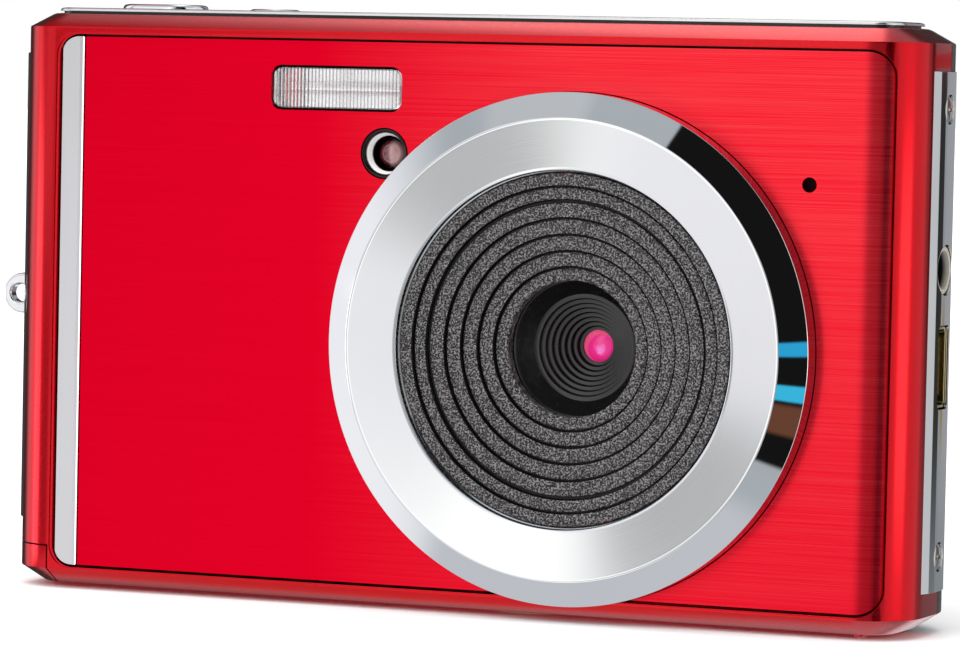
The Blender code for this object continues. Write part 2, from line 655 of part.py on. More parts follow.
ROUND_KEYS = (("menu_button", -19.5, 41.0), ("play_button", -33.5, 41.0), ("delete_button", -33.5, 10.5))
PAD_KEYS = (("right_key", 0), ("up_key", 90), ("left_key", 180), ("down_key", 270))
SCREEN = (-14.0, 34.0, 9.0, 49.5)


def rear_cover():
    shell = cover_base("rear_cover", False)
    left, right, low, high = SCREEN
    pocket = rounded(left - GAP, right + GAP, low - GAP, high + GAP, (1.3,) * 4)
    cut(shell, prism_y("pocket", pocket, 9.35, 20))
    cut(shell, box("view", left + 2, right - 2, 5, 20, low + 2, high - 2))
    cut(shell, prism_y("pad_hole", circle(PAD_X, PAD_Z, 8.2, 48), 5, 20))
    for name, x, z in ROUND_KEYS:
        cut(shell, prism_y("key_hole", circle(x, z, 2.6), 5, 20))
    zoom = rounded(ZOOM_X - 7.0, ZOOM_X + 7.0, ZOOM_Z - 2.5, ZOOM_Z + 2.5, (1.5,) * 4)
    cut(shell, prism_y("zoom_hole", zoom, 5, 20))
    join(shell, foot(38.0, 5.0, 0.8))
    finish(shell, "rear_cover", ((0.035, 0.035, 0.037), 0.42))


def screen():
    left, right, low, high = SCREEN
    window = prism_y("screen_window", rounded(left, right, low, high, (1.0,) * 4), 9.65, 10.45)
    finish(window, "screen_window", ((0.01, 0.01, 0.012), 0.06, 0.0, 0.2))
    panel = box("screen_panel", left + 1.0, right - 1.0, 6.2, 8.35, low + 1.0, high - 1.0)
    finish(panel, "screen_panel", ((0.03, 0.035, 0.045), 0.15), False)


def rear_keys():
    look = ((0.6, 0.61, 0.63), 0.3, 0.8)
    for name, x, z in ROUND_KEYS:
        levels = [(KEY_BACK_Y, 3.1), (FLANGE_FRONT_Y, 3.1), (FLANGE_FRONT_Y, 2.3), (10.75, 2.3), (KEY_TIP_Y, 2.0)]
        outlines = [[(px, y, pz) for px, pz in circle(x, z, r, 24)] for y, r in levels]
        finish(loft(name, outlines), name, look)
    for name, middle in PAD_KEYS:
        key = prism_y(name, sector(PAD_X, PAD_Z, 3.3, 7.85, middle, 41), KEY_BACK_Y, KEY_TIP_Y)
        join(key, prism_y("flange", sector(PAD_X, PAD_Z, 5.0, 9.0, middle, 40), KEY_BACK_Y, FLANGE_FRONT_Y))
        finish(key, name, look)
    levels = [(KEY_BACK_Y, 2.9), (10.75, 2.9), (KEY_TIP_Y, 2.6)]
    outlines = [[(px, y, pz) for px, pz in circle(PAD_X, PAD_Z, r, 28)] for y, r in levels]
    finish(loft("ok_button", outlines), "ok_button", look)


def zoom_rocker():
    cap = rounded(-6.7, 6.7, -2.2, 2.2, (1.3,) * 4)
    rocker = prism_y("zoom_rocker", [(ZOOM_X + x, ZOOM_Z + z) for x, z in cap], 7.7, KEY_TIP_Y - 0.1)
    for side in (-1, 1):
        x = ZOOM_X + side * 6.6
        join(rocker, box("flange", x - 1.0, x + 1.0, 7.6, 8.1, ZOOM_Z - 2.0, ZOOM_Z + 2.0))
    dip = prism_z("dip", circle(ZOOM_X, 16.0, 5.6, 64), 40, 60)
    cut(rocker, dip)
    finish(rocker, "zoom_rocker", ((0.6, 0.61, 0.63), 0.3, 0.8))


def boards():
    keys = box("key_board", -41.0, -14.8, 5.7, 6.6, 6.5, 54.0)
    spots = [(x, z) for name, x, z in ROUND_KEYS] + [(PAD_X, PAD_Z), (ZOOM_X - 4.5, ZOOM_Z), (ZOOM_X + 4.5, ZOOM_Z)]
    for name, middle in PAD_KEYS:
        angle = math.radians(middle)
        spots.append((PAD_X + 5.8 * math.cos(angle), PAD_Z + 5.8 * math.sin(angle)))
    for x, z in spots:
        join(keys, prism_y("switch", circle(x, z, 1.2, 8), 6.2, 6.95))
    finish(keys, "key_board", ((0.02, 0.16, 0.06), 0.5), False)
    main = box("main_board", -42.0, 40.5, 4.3, 5.2, 6.5, 53.5)
    for x, z, size in ((0.0, 45.0, 4.0), (28.0, 44.0, 3.0)):
        join(main, box("chip", x - size, x + size, 3.3, 4.6, z - size, z + size))
    finish(main, "main_board", ((0.02, 0.14, 0.05), 0.5), False)


def power_and_card():
    cell = prism_z("battery", rounded(-41.0, -10.0, -5.5, 0.2, (2.0,) * 4), 3.6, 39.6)
    finish(cell, "battery", ((0.08, 0.1, 0.16), 0.45))
    contacts = box("battery_contacts", -30.0, -20.0, -4.5, -0.5, 39.95, 40.65)
    finish(contacts, "battery_contacts", ((0.75, 0.6, 0.25), 0.3, 1.0), False)
    outline = [(-38.0, 4.0), (-14.0, 4.0), (-14.0, 36.0), (-35.5, 36.0), (-38.0, 33.5)]
    card = prism_y("memory_card", outline, 1.3, 3.4)
    finish(card, "memory_card", ((0.03, 0.05, 0.12), 0.4), False)
    shell = box("card_socket", -38.9, -13.1, 0.6, 4.0, 10.0, 37.8)
    cut(shell, box("slot", -38.3, -13.7, 1.0, 3.7, 0, 37.15))
    finish(shell, "card_socket", ((0.7, 0.7, 0.7), 0.3, 1.0), False)


def tripod_bush():
    bush = prism_z("tripod_bush", circle(6.0, 0.8, 5.2, 36), BODY_BOTTOM, 6.0)
    cut(bush, prism_z("thread", circle(6.0, 0.8, 3.1, 28), -1, 5.2))
    finish(bush, "tripod_bush", ((0.6, 0.5, 0.3), 0.35, 1.0))


def set_origin(part, x, y, z):
    """Move the part's origin to a point on its joint axis without moving the part."""
    offset = Vector((x, y, z)) * MM
    for vertex in part.data.vertices:
        vertex.co -= offset
    part.location = offset


def place_origins():
    named = {part.name: part for part in PARTS}
    set_origin(named["battery_door"], -26.0, HINGE_Y, HINGE_Z)
    set_origin(named["door_pin"], -26.0, HINGE_Y, HINGE_Z)
    set_origin(named["shutter_button"], SHUTTER_X, TOP_BUTTON_Y, TOP_PANEL_Z)
    set_origin(named["power_button"], POWER_X, TOP_BUTTON_Y, TOP_PANEL_Z)
    set_origin(named["zoom_rocker"], ZOOM_X, 8.0, ZOOM_Z)
    set_origin(named["ok_button"], PAD_X, BODY_BACK, PAD_Z)
    set_origin(named["memory_card"], -26.0, 2.35, 4.0)
    for name, x, z in ROUND_KEYS:
        set_origin(named[name], x, BODY_BACK, z)
    for name, middle in PAD_KEYS:
        angle = math.radians(middle)
        set_origin(named[name], PAD_X + 5.8 * math.cos(angle), BODY_BACK, PAD_Z + 5.8 * math.sin(angle))
    for part in PARTS:
        part.location += Vector((SHIFT_X, SHIFT_Y, 0)) * MM


clear_scene()
front_cover()
front_panel()
panel_strip()
lens_surround()
lens_disc()
lens_cone()
optics()
flash_unit()
timer_lamp()
sound_parts()
side_trims()
trim_screws()
sockets()
strap_lug()
battery_door()
inner_frame()
top_parts()
rear_cover()
screen()
rear_keys()
zoom_rocker()
boards()
power_and_card()
tripod_bush()
place_origins()
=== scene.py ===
"""Looks for the compact digital camera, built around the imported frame."""
import bpy
import bmesh
import math
from mathutils import Matrix, Vector


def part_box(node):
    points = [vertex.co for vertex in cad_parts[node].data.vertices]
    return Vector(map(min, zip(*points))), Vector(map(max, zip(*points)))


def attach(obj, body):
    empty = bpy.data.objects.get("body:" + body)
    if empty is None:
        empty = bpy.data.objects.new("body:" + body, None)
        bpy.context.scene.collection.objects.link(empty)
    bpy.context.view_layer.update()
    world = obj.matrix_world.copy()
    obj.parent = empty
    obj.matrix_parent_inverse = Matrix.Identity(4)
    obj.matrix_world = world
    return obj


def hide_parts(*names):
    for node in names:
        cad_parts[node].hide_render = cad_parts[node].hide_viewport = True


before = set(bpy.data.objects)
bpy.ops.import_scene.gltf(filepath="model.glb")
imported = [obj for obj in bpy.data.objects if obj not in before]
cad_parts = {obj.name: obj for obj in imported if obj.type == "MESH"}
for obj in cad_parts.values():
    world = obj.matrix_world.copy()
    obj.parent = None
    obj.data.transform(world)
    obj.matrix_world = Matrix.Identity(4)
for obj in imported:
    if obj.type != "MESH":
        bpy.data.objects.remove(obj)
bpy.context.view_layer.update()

MM = 0.001

# Case envelope, millimetres, in the frame the parts were drawn in
BODY_LEFT = -48.65
BODY_RIGHT = 46.6
BODY_FRONT = -9.3
BODY_BACK = 10.5
BODY_BOTTOM = 0.35
BODY_TOP = 57.7
FRONT_CORNER = (5.5, 5.8)
REAR_CORNER = (9.0, 9.5)
EDGE_INSET = 2.5
BOTTOM_EDGE_Z = 1.95
TOP_EDGE_Z = 56.35
CORNER_STEPS = 20
SEAM_Y = 1.2
SEAM_GAP = 0.06
HOLLOW_LEFT = -47.05
HOLLOW_RIGHT = 44.8
HOLLOW_FRONT = -6.2
HOLLOW_BACK = 8.7
HOLLOW_BOTTOM = 1.95
HOLLOW_TOP = 55.2
LENS_X = 12.47
LENS_Z = 26.32
LAMP_X = -7.68
LAMP_Z = 44.57
MIC_X = 36.08
MIC_Z = 42.76
PANEL = (-40.45, 44.0, 2.45, 55.4)
STRIP = (-43.1, -40.5, 2.45, 55.4)
FLASH = (-19.95, -5.95, 48.6, 53.0)
SOCKET_Y = 0.3
LUG_Y = -1.0
SCREW_Z = (7.5, 50.1)
JACK_Z = 34.85
USB_Z = 25.6
LUG_Z = 29.15
SCREEN = (-14.0, 34.0, 9.0, 49.5)
DISC_GROOVES = ((15.55, 0.21), (14.1, 0.34), (12.5, 0.21), (10.93, 0.21), (9.35, 0.21), (7.8, 0.21))

PAD_MARKS = ((-26.5, 31.6), (-26.5, 20.4), (-32.1, 26.0), (-20.9, 26.0))
KEY_MARKS = PAD_MARKS + ((-19.5, 41.0), (-33.5, 41.0), (-33.5, 10.5))
HOLLOW_CORNERS = ((4.0, 2.7), (7.5, 7.7))

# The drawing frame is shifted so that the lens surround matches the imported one
_low, _high = (Vector(corner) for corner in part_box("lens_surround"))
_shift_x = (_low.x + _high.x) / 2 - LENS_X * MM
_shift_z = (_low.z + _high.z) / 2 - LENS_Z * MM
SHIFT = Vector((_shift_x, _low.y + 12.5 * MM, _shift_z))


# ---------------------------------------------------------------- mesh helpers
def mesh_object(name, points, faces):
    mesh = bpy.data.meshes.new(name)
    mesh.from_pydata([Vector(p) * MM + SHIFT for p in points], [], faces)
    work = bmesh.new()
    work.from_mesh(mesh)
    bmesh.ops.recalc_face_normals(work, faces=work.faces)
    work.to_mesh(mesh)
    work.free()
    made = bpy.data.objects.new(name, mesh)
    bpy.context.scene.collection.objects.link(made)
    return made


def loft(name, sections, closed=False):
    count = len(sections[0])
    points = [p for section in sections for p in section]
    faces = []
    levels = len(sections)
    if not closed:
        faces.append(tuple(range(count)))
        faces.append(tuple((levels - 1) * count + i for i in range(count)))
    for level in range(levels if closed else levels - 1):
        low = level * count
        high = ((level + 1) % levels) * count
        for i in range(count):
            j = (i + 1) % count
            faces.append((low + i, low + j, high + j, high + i))
    return mesh_object(name, points, faces)


def prism_z(name, outline, z0, z1):
    return loft(name, [[(x, y, z) for x, y in outline] for z in (z0, z1)])


def prism_y(name, outline, y0, y1):
    return loft(name, [[(x, y, z) for x, z in outline] for y in (y0, y1)])


def prism_x(name, outline, x0, x1):
    return loft(name, [[(x, y, z) for y, z in outline] for x in (x0, x1)])


def box(name, x0, x1, y0, y1, z0, z1):
    return prism_z(name, [(x0, y0), (x1, y0), (x1, y1), (x0, y1)], z0, z1)


def circle(cx, cy, radius, steps=64):
    angles = [2 * math.pi * i / steps for i in range(steps)]
    return [(cx + radius * math.cos(a), cy + radius * math.sin(a)) for a in angles]


def rounded(x0, x1, y0, y1, radii, steps=10):
    corners = [(x1, y0, -90, radii[0]), (x1, y1, 0, radii[1])]
    corners += [(x0, y1, 90, radii[2]), (x0, y0, 180, radii[3])]
    outline = []
    for x, y, start, radius in corners:
        cx = x - radius if x == x1 else x + radius
        cy = y - radius if y == y1 else y + radius
        for i in range(steps + 1):
            angle = math.radians(start + 90 * i / steps)
            outline.append((cx + radius * math.cos(angle), cy + radius * math.sin(angle)))
    return outline


def stadium(cx, cy, length, width, steps=20):
    radius = width / 2
    reach = length / 2 - radius
    outline = []
    for side, start in ((1, -90), (-1, 90)):
        for i in range(steps + 1):
            angle = math.radians(start + 180 * i / steps)
            outline.append((cx + side * reach + radius * math.cos(angle), cy + radius * math.sin(angle)))
    return outline


def turned(name, profile, cx, cz, segments=160):
    points = []
    rings = []
    for radius, y in profile:
        if radius == 0:
            rings.append([len(points)] * segments)
            points.append((cx, y, cz))
            continue
        rings.append(list(range(len(points), len(points) + segments)))
        for x, z in circle(cx, cz, radius, segments):
            points.append((x, y, z))
    faces = []
    for a, b in zip(rings, rings[1:] + rings[:1]):
        if a[0] == a[1] and b[0] == b[1]:
            continue
        for i in range(segments):
            j = (i + 1) % segments
            corner = []
            for index in (a[i], a[j], b[j], b[i]):
                if index not in corner:
                    corner.append(index)
            faces.append(tuple(corner))
    return mesh_object(name, points, faces)


def soften(profile, size, steps=3):
    """Round every corner of a closed (radius, y) profile."""
    out = []
    count = len(profile)
    for i, here in enumerate(profile):
        before = Vector(profile[i - 1])
        after = Vector(profile[(i + 1) % count])
        point = Vector(here)
        back = before - point
        ahead = after - point
        if here[0] == 0 or back.length < 1e-6 or ahead.length < 1e-6:
            out.append(here)
            continue
        cut_size = min(size, back.length * 0.45, ahead.length * 0.45)
        start = point + back.normalized() * cut_size
        end = point + ahead.normalized() * cut_size
        for k in range(steps + 1):
            t = k / steps
            spot = start * (1 - t) ** 2 + point * 2 * t * (1 - t) + end * t * t
            out.append((spot.x, spot.y))
    return out


def combine(target, tools, operation):
    for tool in tools:
        step = target.modifiers.new("step", "BOOLEAN")
        step.operation = operation
        step.solver = "EXACT"
        step.object = tool
        graph = bpy.context.evaluated_depsgraph_get()
        result = bpy.data.meshes.new_from_object(target.evaluated_get(graph))
        target.modifiers.clear()
        target.data = result
        bpy.data.objects.remove(tool, do_unlink=True)
    work = bmesh.new()
    work.from_mesh(target.data)
    bmesh.ops.remove_doubles(work, verts=work.verts, dist=0.000002)
    bmesh.ops.dissolve_degenerate(work, edges=work.edges, dist=0.000002)
    work.to_mesh(target.data)
    work.free()
    target.data.validate()
    return target


def cut(target, *tools):
    return combine(target, tools, "DIFFERENCE")


def join(target, *tools):
    return combine(target, tools, "UNION")


def keep(target, *tools):
    return combine(target, tools, "INTERSECT")


def smooth(piece, angle=30.0):
    for face in piece.data.polygons:
        face.use_smooth = True
    piece.data.set_sharp_from_angle(angle=math.radians(angle))


def soft_edges(piece, width, segments=2, angle=32.0):
    """Small real bevel on the hard edges."""
    step = piece.modifiers.new("soft_edges", "BEVEL")
    step.width = width * MM
    step.segments = segments
    step.limit_method = "ANGLE"
    step.angle_limit = math.radians(angle)
    step.use_clamp_overlap = True
    step.harden_normals = True


def even_normals(piece):
    """Let the broad faces keep their own direction, so that flat bevels mirror like flat bevels."""
    step = piece.modifiers.new("even_normals", "WEIGHTED_NORMAL")
    step.weight = 100
    step.keep_sharp = True


def place(piece, body, slot, look, *nodes):
    """Give a piece its material, its body and the nodes it stands for; the slot argument is not used."""
    piece.data.materials.clear()
    piece.data.materials.append(look)
    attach(piece, body)
    if nodes:
        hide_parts(*nodes)
    return piece


# ---------------------------------------------------------------- material helpers
class Look:
    """A Principled material with short calls for the nodes used here."""

    def __init__(self, name):
        self.material = bpy.data.materials.new(name)
        self.material.use_nodes = True
        self.nodes = self.material.node_tree.nodes
        self.links = self.material.node_tree.links
        self.shader = self.nodes["Principled BSDF"]
        self.spot = self.nodes.new("ShaderNodeTexCoord").outputs["Object"]

    def node(self, kind, **settings):
        made = self.nodes.new(kind)
        for key, value in settings.items():
            setattr(made, key, value)
        return made

    def put(self, socket, value):
        if isinstance(value, bpy.types.NodeSocket):
            self.links.new(value, socket)
        elif isinstance(value, tuple) and len(value) == 3 and socket.type == "RGBA":
            socket.default_value = (*value, 1.0)
        else:
            socket.default_value = value

    def set(self, **values):
        for key, value in values.items():
            self.put(self.shader.inputs[key.replace("_", " ")], value)
        return self

    def scaled(self, scale):
        made = self.node("ShaderNodeMapping")
        made.inputs["Scale"].default_value = scale
        self.links.new(self.spot, made.inputs["Vector"])
        return made.outputs["Vector"]

    def noise(self, scale, detail=3.0, rough=0.55):
        """Noise with a feature size given by the three scales (features per metre)."""
        made = self.node("ShaderNodeTexNoise")
        made.inputs["Scale"].default_value = 1.0
        made.inputs["Detail"].default_value = detail
        made.inputs["Roughness"].default_value = rough
        self.links.new(self.scaled(scale), made.inputs["Vector"])
        return made.outputs["Fac"]

    def cells(self, scale, output="Distance"):
        made = self.node("ShaderNodeTexVoronoi")
        made.inputs["Scale"].default_value = 1.0
        self.links.new(self.scaled(scale), made.inputs["Vector"])
        return made.outputs[output]

    def spread(self, value, low, high, out_low, out_high):
        made = self.node("ShaderNodeMapRange")
        for key, number in (("From Min", low), ("From Max", high), ("To Min", out_low), ("To Max", out_high)):
            made.inputs[key].default_value = number
        self.links.new(value, made.inputs["Value"])
        return made.outputs["Result"]

    def blend(self, factor, first, second):
        made = self.node("ShaderNodeMix", data_type="RGBA")
        self.put(made.inputs[0], factor)
        self.put(made.inputs[6], first)
        self.put(made.inputs[7], second)
        return made.outputs[2]

    def math(self, operation, first, second):
        made = self.node("ShaderNodeMath", operation=operation)
        self.put(made.inputs[0], first)
        self.put(made.inputs[1], second)
        return made.outputs[0]

    def bump(self, height, depth_mm, under=None):
        made = self.node("ShaderNodeBump")
        made.inputs["Strength"].default_value = 1.0
        made.inputs["Distance"].default_value = depth_mm * MM
        self.links.new(height, made.inputs["Height"])
        if under is not None:
            self.links.new(under, made.inputs["Normal"])
        self.links.new(made.outputs["Normal"], self.shader.inputs["Normal"])
        return made.outputs["Normal"]

    def radius(self, x, z):
        """Distance from the front-to-back line through the drawing point x, z."""
        apart = self.node("ShaderNodeSeparateXYZ")
        self.links.new(self.spot, apart.inputs[0])
        across = self.math("SUBTRACT", apart.outputs[0], x * MM + SHIFT.x)
        up = self.math("SUBTRACT", apart.outputs[2], z * MM + SHIFT.z)
        squared = self.math("ADD", self.math("MULTIPLY", across, across), self.math("MULTIPLY", up, up))
        return self.math("SQRT", squared, 0.0)

    def along(self, axis):
        """Position along axis 0, 1 or 2."""
        apart = self.node("ShaderNodeSeparateXYZ")
        self.links.new(self.spot, apart.inputs[0])
        return apart.outputs[axis]

    def turned_tangent(self, axis):
        made = self.node("ShaderNodeTangent", direction_type="RADIAL", axis=axis)
        self.links.new(made.outputs["Tangent"], self.shader.inputs["Tangent"])


def red_lacquer(name, deep, bright):
    """Satin red metal paint: fine flake, slight unevenness, clear coat."""
    look = Look(name)
    flake = look.noise((2600.0,) * 3, 2.0)
    cloud = look.noise((60.0,) * 3, 3.0)
    look.set(Base_Color=look.blend(look.spread(cloud, 0.3, 0.7, 0.0, 1.0), deep, bright))
    look.set(Metallic=1.0, Roughness=look.spread(flake, 0.3, 0.7, 0.19, 0.26))
    look.set(Coat_Weight=0.34, Coat_Roughness=0.05, Coat_IOR=1.5)
    look.bump(flake, 0.0012)
    return look.material


def brushed_red_painted_sheen():
    """Red anodised sheet brushed along its length; towards the right and the top its colour is painted paler
    and more streaked, a painted sheen.
    """
    look = Look("brushed_red_painted_sheen")
    fine = look.noise((55.0, 300.0, 14000.0), 3.0, 0.6)
    wide = look.noise((20.0, 100.0, 3600.0), 2.0, 0.5)
    grain = look.math("ADD", look.math("MULTIPLY", fine, 0.75), look.math("MULTIPLY", wide, 0.25))
    tone = look.spread(grain, 0.36, 0.64, 0.0, 1.0)
    # Painted sheen: the base colour turns paler and more streaked towards the right and the top, where the
    # light falls on the sheet.
    along = look.spread(look.along(0), -0.012, 0.016, 0.0, 1.0)
    height = look.spread(look.along(2), 0.002, 0.040, 0.45, 1.0)
    plain = look.blend(tone, (0.76, 0.0003, 0.017), (0.82, 0.0008, 0.021))
    pale = look.blend(tone, (0.88, 0.010, 0.030), (1.0, 0.052, 0.066))
    look.set(Base_Color=look.blend(look.math("MULTIPLY", along, height), plain, pale))
    look.set(Metallic=1.0, Roughness=look.spread(grain, 0.35, 0.65, 0.28, 0.36))
    look.set(Anisotropic=0.65, Anisotropic_Rotation=0.25)
    look.turned_tangent("Z")
    look.bump(grain, 0.0018)
    return look.material


def bright_metal(name, colour, rough, brush=None, depth=0.001):
    """Polished or satin metal with faint smears and fine polishing lines."""
    look = Look(name)
    smear = look.noise((90.0, 90.0, 90.0), 3.0)
    lines = look.noise(brush or (1500.0, 1500.0, 1500.0), 2.0)
    duller = tuple(c * 0.93 for c in colour)
    look.set(Base_Color=look.blend(look.spread(smear, 0.3, 0.7, 0.0, 0.5), colour, duller))
    look.set(Metallic=1.0, Roughness=look.spread(lines, 0.3, 0.7, rough * 0.8, rough * 1.3))
    look.bump(lines, depth)
    return look.material


def spun_chrome():
    """Lens surround: chrome with very fine circular turning lines."""
    look = Look("spun_chrome")
    radius = look.radius(LENS_X, LENS_Z)
    combined = look.node("ShaderNodeCombineXYZ")
    look.links.new(look.math("MULTIPLY", radius, 9000.0), combined.inputs[0])
    rings = look.node("ShaderNodeTexNoise")
    rings.inputs["Scale"].default_value = 1.0
    rings.inputs["Detail"].default_value = 2.0
    look.links.new(combined.outputs[0], rings.inputs["Vector"])
    smear = look.noise((70.0,) * 3, 3.0)
    smears = look.spread(smear, 0.3, 0.7, 0.0, 1.0)
    look.set(Base_Color=look.blend(smears, (0.82, 0.83, 0.84), (0.79, 0.80, 0.82)))
    polish = look.spread(radius, 0.02190, 0.02215, 1.0, 0.22)
    fine = look.spread(rings.outputs["Fac"], 0.3, 0.7, 0.10, 0.17)
    look.set(Metallic=1.0, Roughness=look.math("MULTIPLY", fine, polish))
    look.set(Anisotropic=0.6, Anisotropic_Rotation=0.25)
    look.turned_tangent("Y")
    look.bump(look.math("MULTIPLY", rings.outputs["Fac"], polish), 0.0008)
    return look.material


def grained_plastic(name, colour, light, size, depth, rough):
    """Moulded plastic with a leather-like grain of the given size in millimetres."""
    look = Look(name)
    rate = 1000.0 / size
    cell = look.cells((rate,) * 3)
    fine = look.noise((rate * 2.2,) * 3, 3.0, 0.6)
    height = look.math("ADD", look.math("MULTIPLY", cell, 0.6), look.math("MULTIPLY", fine, 0.7))
    look.set(Base_Color=look.blend(look.spread(height, 0.35, 0.9, 0.0, 1.0), light, colour))
    look.set(Roughness=look.spread(fine, 0.3, 0.7, rough * 0.85, rough * 1.2), Specular_IOR_Level=0.5)
    look.bump(look.math("SUBTRACT", 1.0, height), depth)
    return look.material


def disc_plastic():
    """Dark moulded plastic with a fine sparkling spark-erosion texture."""
    look = Look("disc_grain")
    pits = look.noise((5200.0,) * 3, 3.0, 0.7)
    broad = look.noise((2300.0,) * 3, 2.0, 0.5)
    height = look.math("ADD", look.math("MULTIPLY", pits, 0.85), look.math("MULTIPLY", broad, 0.15))
    tone = look.spread(height, 0.485, 0.575, 0.0, 1.0)
    colour = look.blend(tone, (0.002, 0.002, 0.002), (0.215, 0.20, 0.205))
    radius = look.radius(LENS_X, LENS_Z)
    # Painted shade: each groove band is painted near-black on top of its real geometric groove.
    for ring, groove in DISC_GROOVES:
        offset = look.math("ABSOLUTE", look.math("SUBTRACT", radius, (ring + groove * 0.5) * MM), 0.0)
        inside = look.spread(offset, groove * 0.5 * MM, groove * 0.62 * MM, 1.0, 0.0)
        colour = look.blend(inside, colour, (0.001,) * 3)
    look.set(Base_Color=colour)
    look.set(Roughness=look.spread(pits, 0.3, 0.7, 0.5, 0.3), Specular_IOR_Level=0.5)
    look.bump(height, 0.10)
    return look.material


def gloss_plastic(name, colour, rough=0.18, depth=0.001):
    look = Look(name)
    fine = look.noise((1200.0,) * 3, 2.0)
    cloud = look.noise((150.0,) * 3, 2.0)
    look.set(Base_Color=look.blend(cloud, colour, tuple(c * 0.8 for c in colour)))
    look.set(Roughness=look.spread(fine, 0.3, 0.7, rough * 0.8, rough * 1.25))
    look.bump(fine, depth)
    return look.material


def clear(name, colour, rough, transmission, ior=1.49):
    look = Look(name)
    fine = look.noise((700.0,) * 3, 2.0)
    look.set(Base_Color=colour, Transmission_Weight=transmission, IOR=ior)
    look.set(Roughness=look.spread(fine, 0.3, 0.7, rough * 0.7, rough * 1.3))
    look.bump(fine, 0.0006)
    return look.material


RED = red_lacquer("red_lacquer", (0.62, 0.001, 0.008), (0.70, 0.002, 0.012))
CHROME = bright_metal("chrome", (0.88, 0.89, 0.90), 0.06)
STEEL = bright_metal("steel", (0.66, 0.65, 0.63), 0.18, (4000.0, 4000.0, 800.0), 0.002)
BLACK = grained_plastic("black_shell", (0.020, 0.020, 0.021), (0.045, 0.045, 0.047), 0.32, 0.02, 0.38)
DISC = disc_plastic()


# ---------------------------------------------------------------- case
def plan(left, right, front, back, front_corner, rear_corner, inset=0.0):
    left, right = left + inset, right - inset
    front, back = front + inset, back - inset
    fa, fb = front_corner[0] - inset, front_corner[1] - inset
    ra, rb = rear_corner[0] - inset, rear_corner[1] - inset
    arcs = [(right - fa, front + fb, fa, fb, -90), (right - ra, back - rb, ra, rb, 0)]
    arcs += [(left + ra, back - rb, ra, rb, 90), (left + fa, front + fb, fa, fb, 180)]
    outline = []
    for cx, cy, a, b, start in arcs:
        for i in range(CORNER_STEPS + 1):
            angle = math.radians(start + 90 * i / CORNER_STEPS)
            outline.append((cx + a * math.cos(angle), cy + b * math.sin(angle)))
    return outline


def case_outline(inset):
    return plan(BODY_LEFT, BODY_RIGHT, BODY_FRONT, BODY_BACK, FRONT_CORNER, REAR_CORNER, inset)


def eased_levels():
    """Height and inset of the case from bottom to top, with softened chamfer edges."""
    rise = BOTTOM_EDGE_Z - BODY_BOTTOM
    fall = BODY_TOP - TOP_EDGE_Z
    levels = [(BODY_BOTTOM, EDGE_INSET + 0.3), (BODY_BOTTOM + 0.03, EDGE_INSET + 0.1)]
    levels += [(BODY_BOTTOM + 0.1, EDGE_INSET - 0.15)]
    levels += [(BOTTOM_EDGE_Z - rise * 0.09, EDGE_INSET * 0.10)]
    levels += [(BOTTOM_EDGE_Z, 0.03), (BOTTOM_EDGE_Z + 0.15, 0.0)]
    levels += [(TOP_EDGE_Z - 0.12, 0.0), (TOP_EDGE_Z, 0.03), (TOP_EDGE_Z + fall * 0.08, EDGE_INSET * 0.09)]
    levels += [(BODY_TOP - fall * 0.08, EDGE_INSET * 0.92), (BODY_TOP, EDGE_INSET + 0.12)]
    return levels


def case_solid(name):
    return loft(name, [[(x, y, z) for x, y in case_outline(inset)] for z, inset in eased_levels()])


def hollow(name):
    outline = plan(HOLLOW_LEFT, HOLLOW_RIGHT, HOLLOW_FRONT, HOLLOW_BACK, *HOLLOW_CORNERS)
    return prism_z(name, outline, HOLLOW_BOTTOM, HOLLOW_TOP)


def front_surface(x, depth):
    """Y of the sheet that lies a given depth under the case front."""
    centre_x = BODY_RIGHT - FRONT_CORNER[0]
    if x <= centre_x:
        return BODY_FRONT + depth
    part = (x - centre_x) / (FRONT_CORNER[0] - depth)
    return BODY_FRONT + FRONT_CORNER[1] - (FRONT_CORNER[1] - depth) * math.sqrt(1 - part * part)


def bent_sheet(name, left, right, depth_front, depth_back, z0=0, z1=60):
    centre_x = BODY_RIGHT - FRONT_CORNER[0]
    across = [left] + [centre_x + (right - centre_x) * i / 20 for i in range(21)]
    front = [(x, -30.0 if depth_front is None else front_surface(x, depth_front)) for x in across]
    return prism_z(name, front + [(x, front_surface(x, depth_back)) for x in reversed(across)], z0, z1)


def recess_tool(grow):
    left, right = STRIP[0] - 0.03, PANEL[1] + grow
    low, high = PANEL[2] - grow, PANEL[3] + grow
    tool = bent_sheet("recess", left, right, None, 1.8)
    edge = rounded(left, right, low, high, (2.4 + grow, 2.4 + grow, 2.0 + grow, 2.0 + grow))
    return keep(tool, prism_y("edge", edge, -40, 0))


def lip_tool():
    """Shallow flare that leaves a fine bevel round the recess."""
    left, right, low, high = STRIP[0] - 0.32, PANEL[1] + 0.32, PANEL[2] - 0.32, PANEL[3] + 0.32
    tool = bent_sheet("lip", left, right, None, 0.14)
    edge = rounded(left, right, low, high, (2.72, 2.72, 2.32, 2.32))
    return keep(tool, prism_y("edge", edge, -40, 0))


def hole_y(name, x, z, radius, y0=-12.0, y1=-6.0, steps=64):
    return prism_y(name, circle(x, z, radius, steps), y0, y1)


def socket_outline(z, half_width, half_height, corner):
    """Rounded rectangle on the sockets' line, seen along X."""
    low_y, high_y = SOCKET_Y - half_width, SOCKET_Y + half_width
    return rounded(low_y, high_y, z - half_height, z + half_height, (corner,) * 4)


def side_holes(x0, x1):
    made = [prism_x("screw_hole", circle(SOCKET_Y, z, 1.0, 32), x0, x1) for z in SCREW_Z]
    made.append(prism_x("jack_hole", circle(SOCKET_Y, JACK_Z, 2.42, 64), x0, x1))
    made.append(prism_x("usb_hole", socket_outline(USB_Z, 1.65, 4.0, 0.7), x0, x1))
    return made


def speaker_holes():
    spots = [(25.0, -0.7)] + circle(25.0, -0.7, 2.2, 6)
    return [prism_z("grille", circle(x, y, 0.45, 20), 54, 60) for x, y in spots]


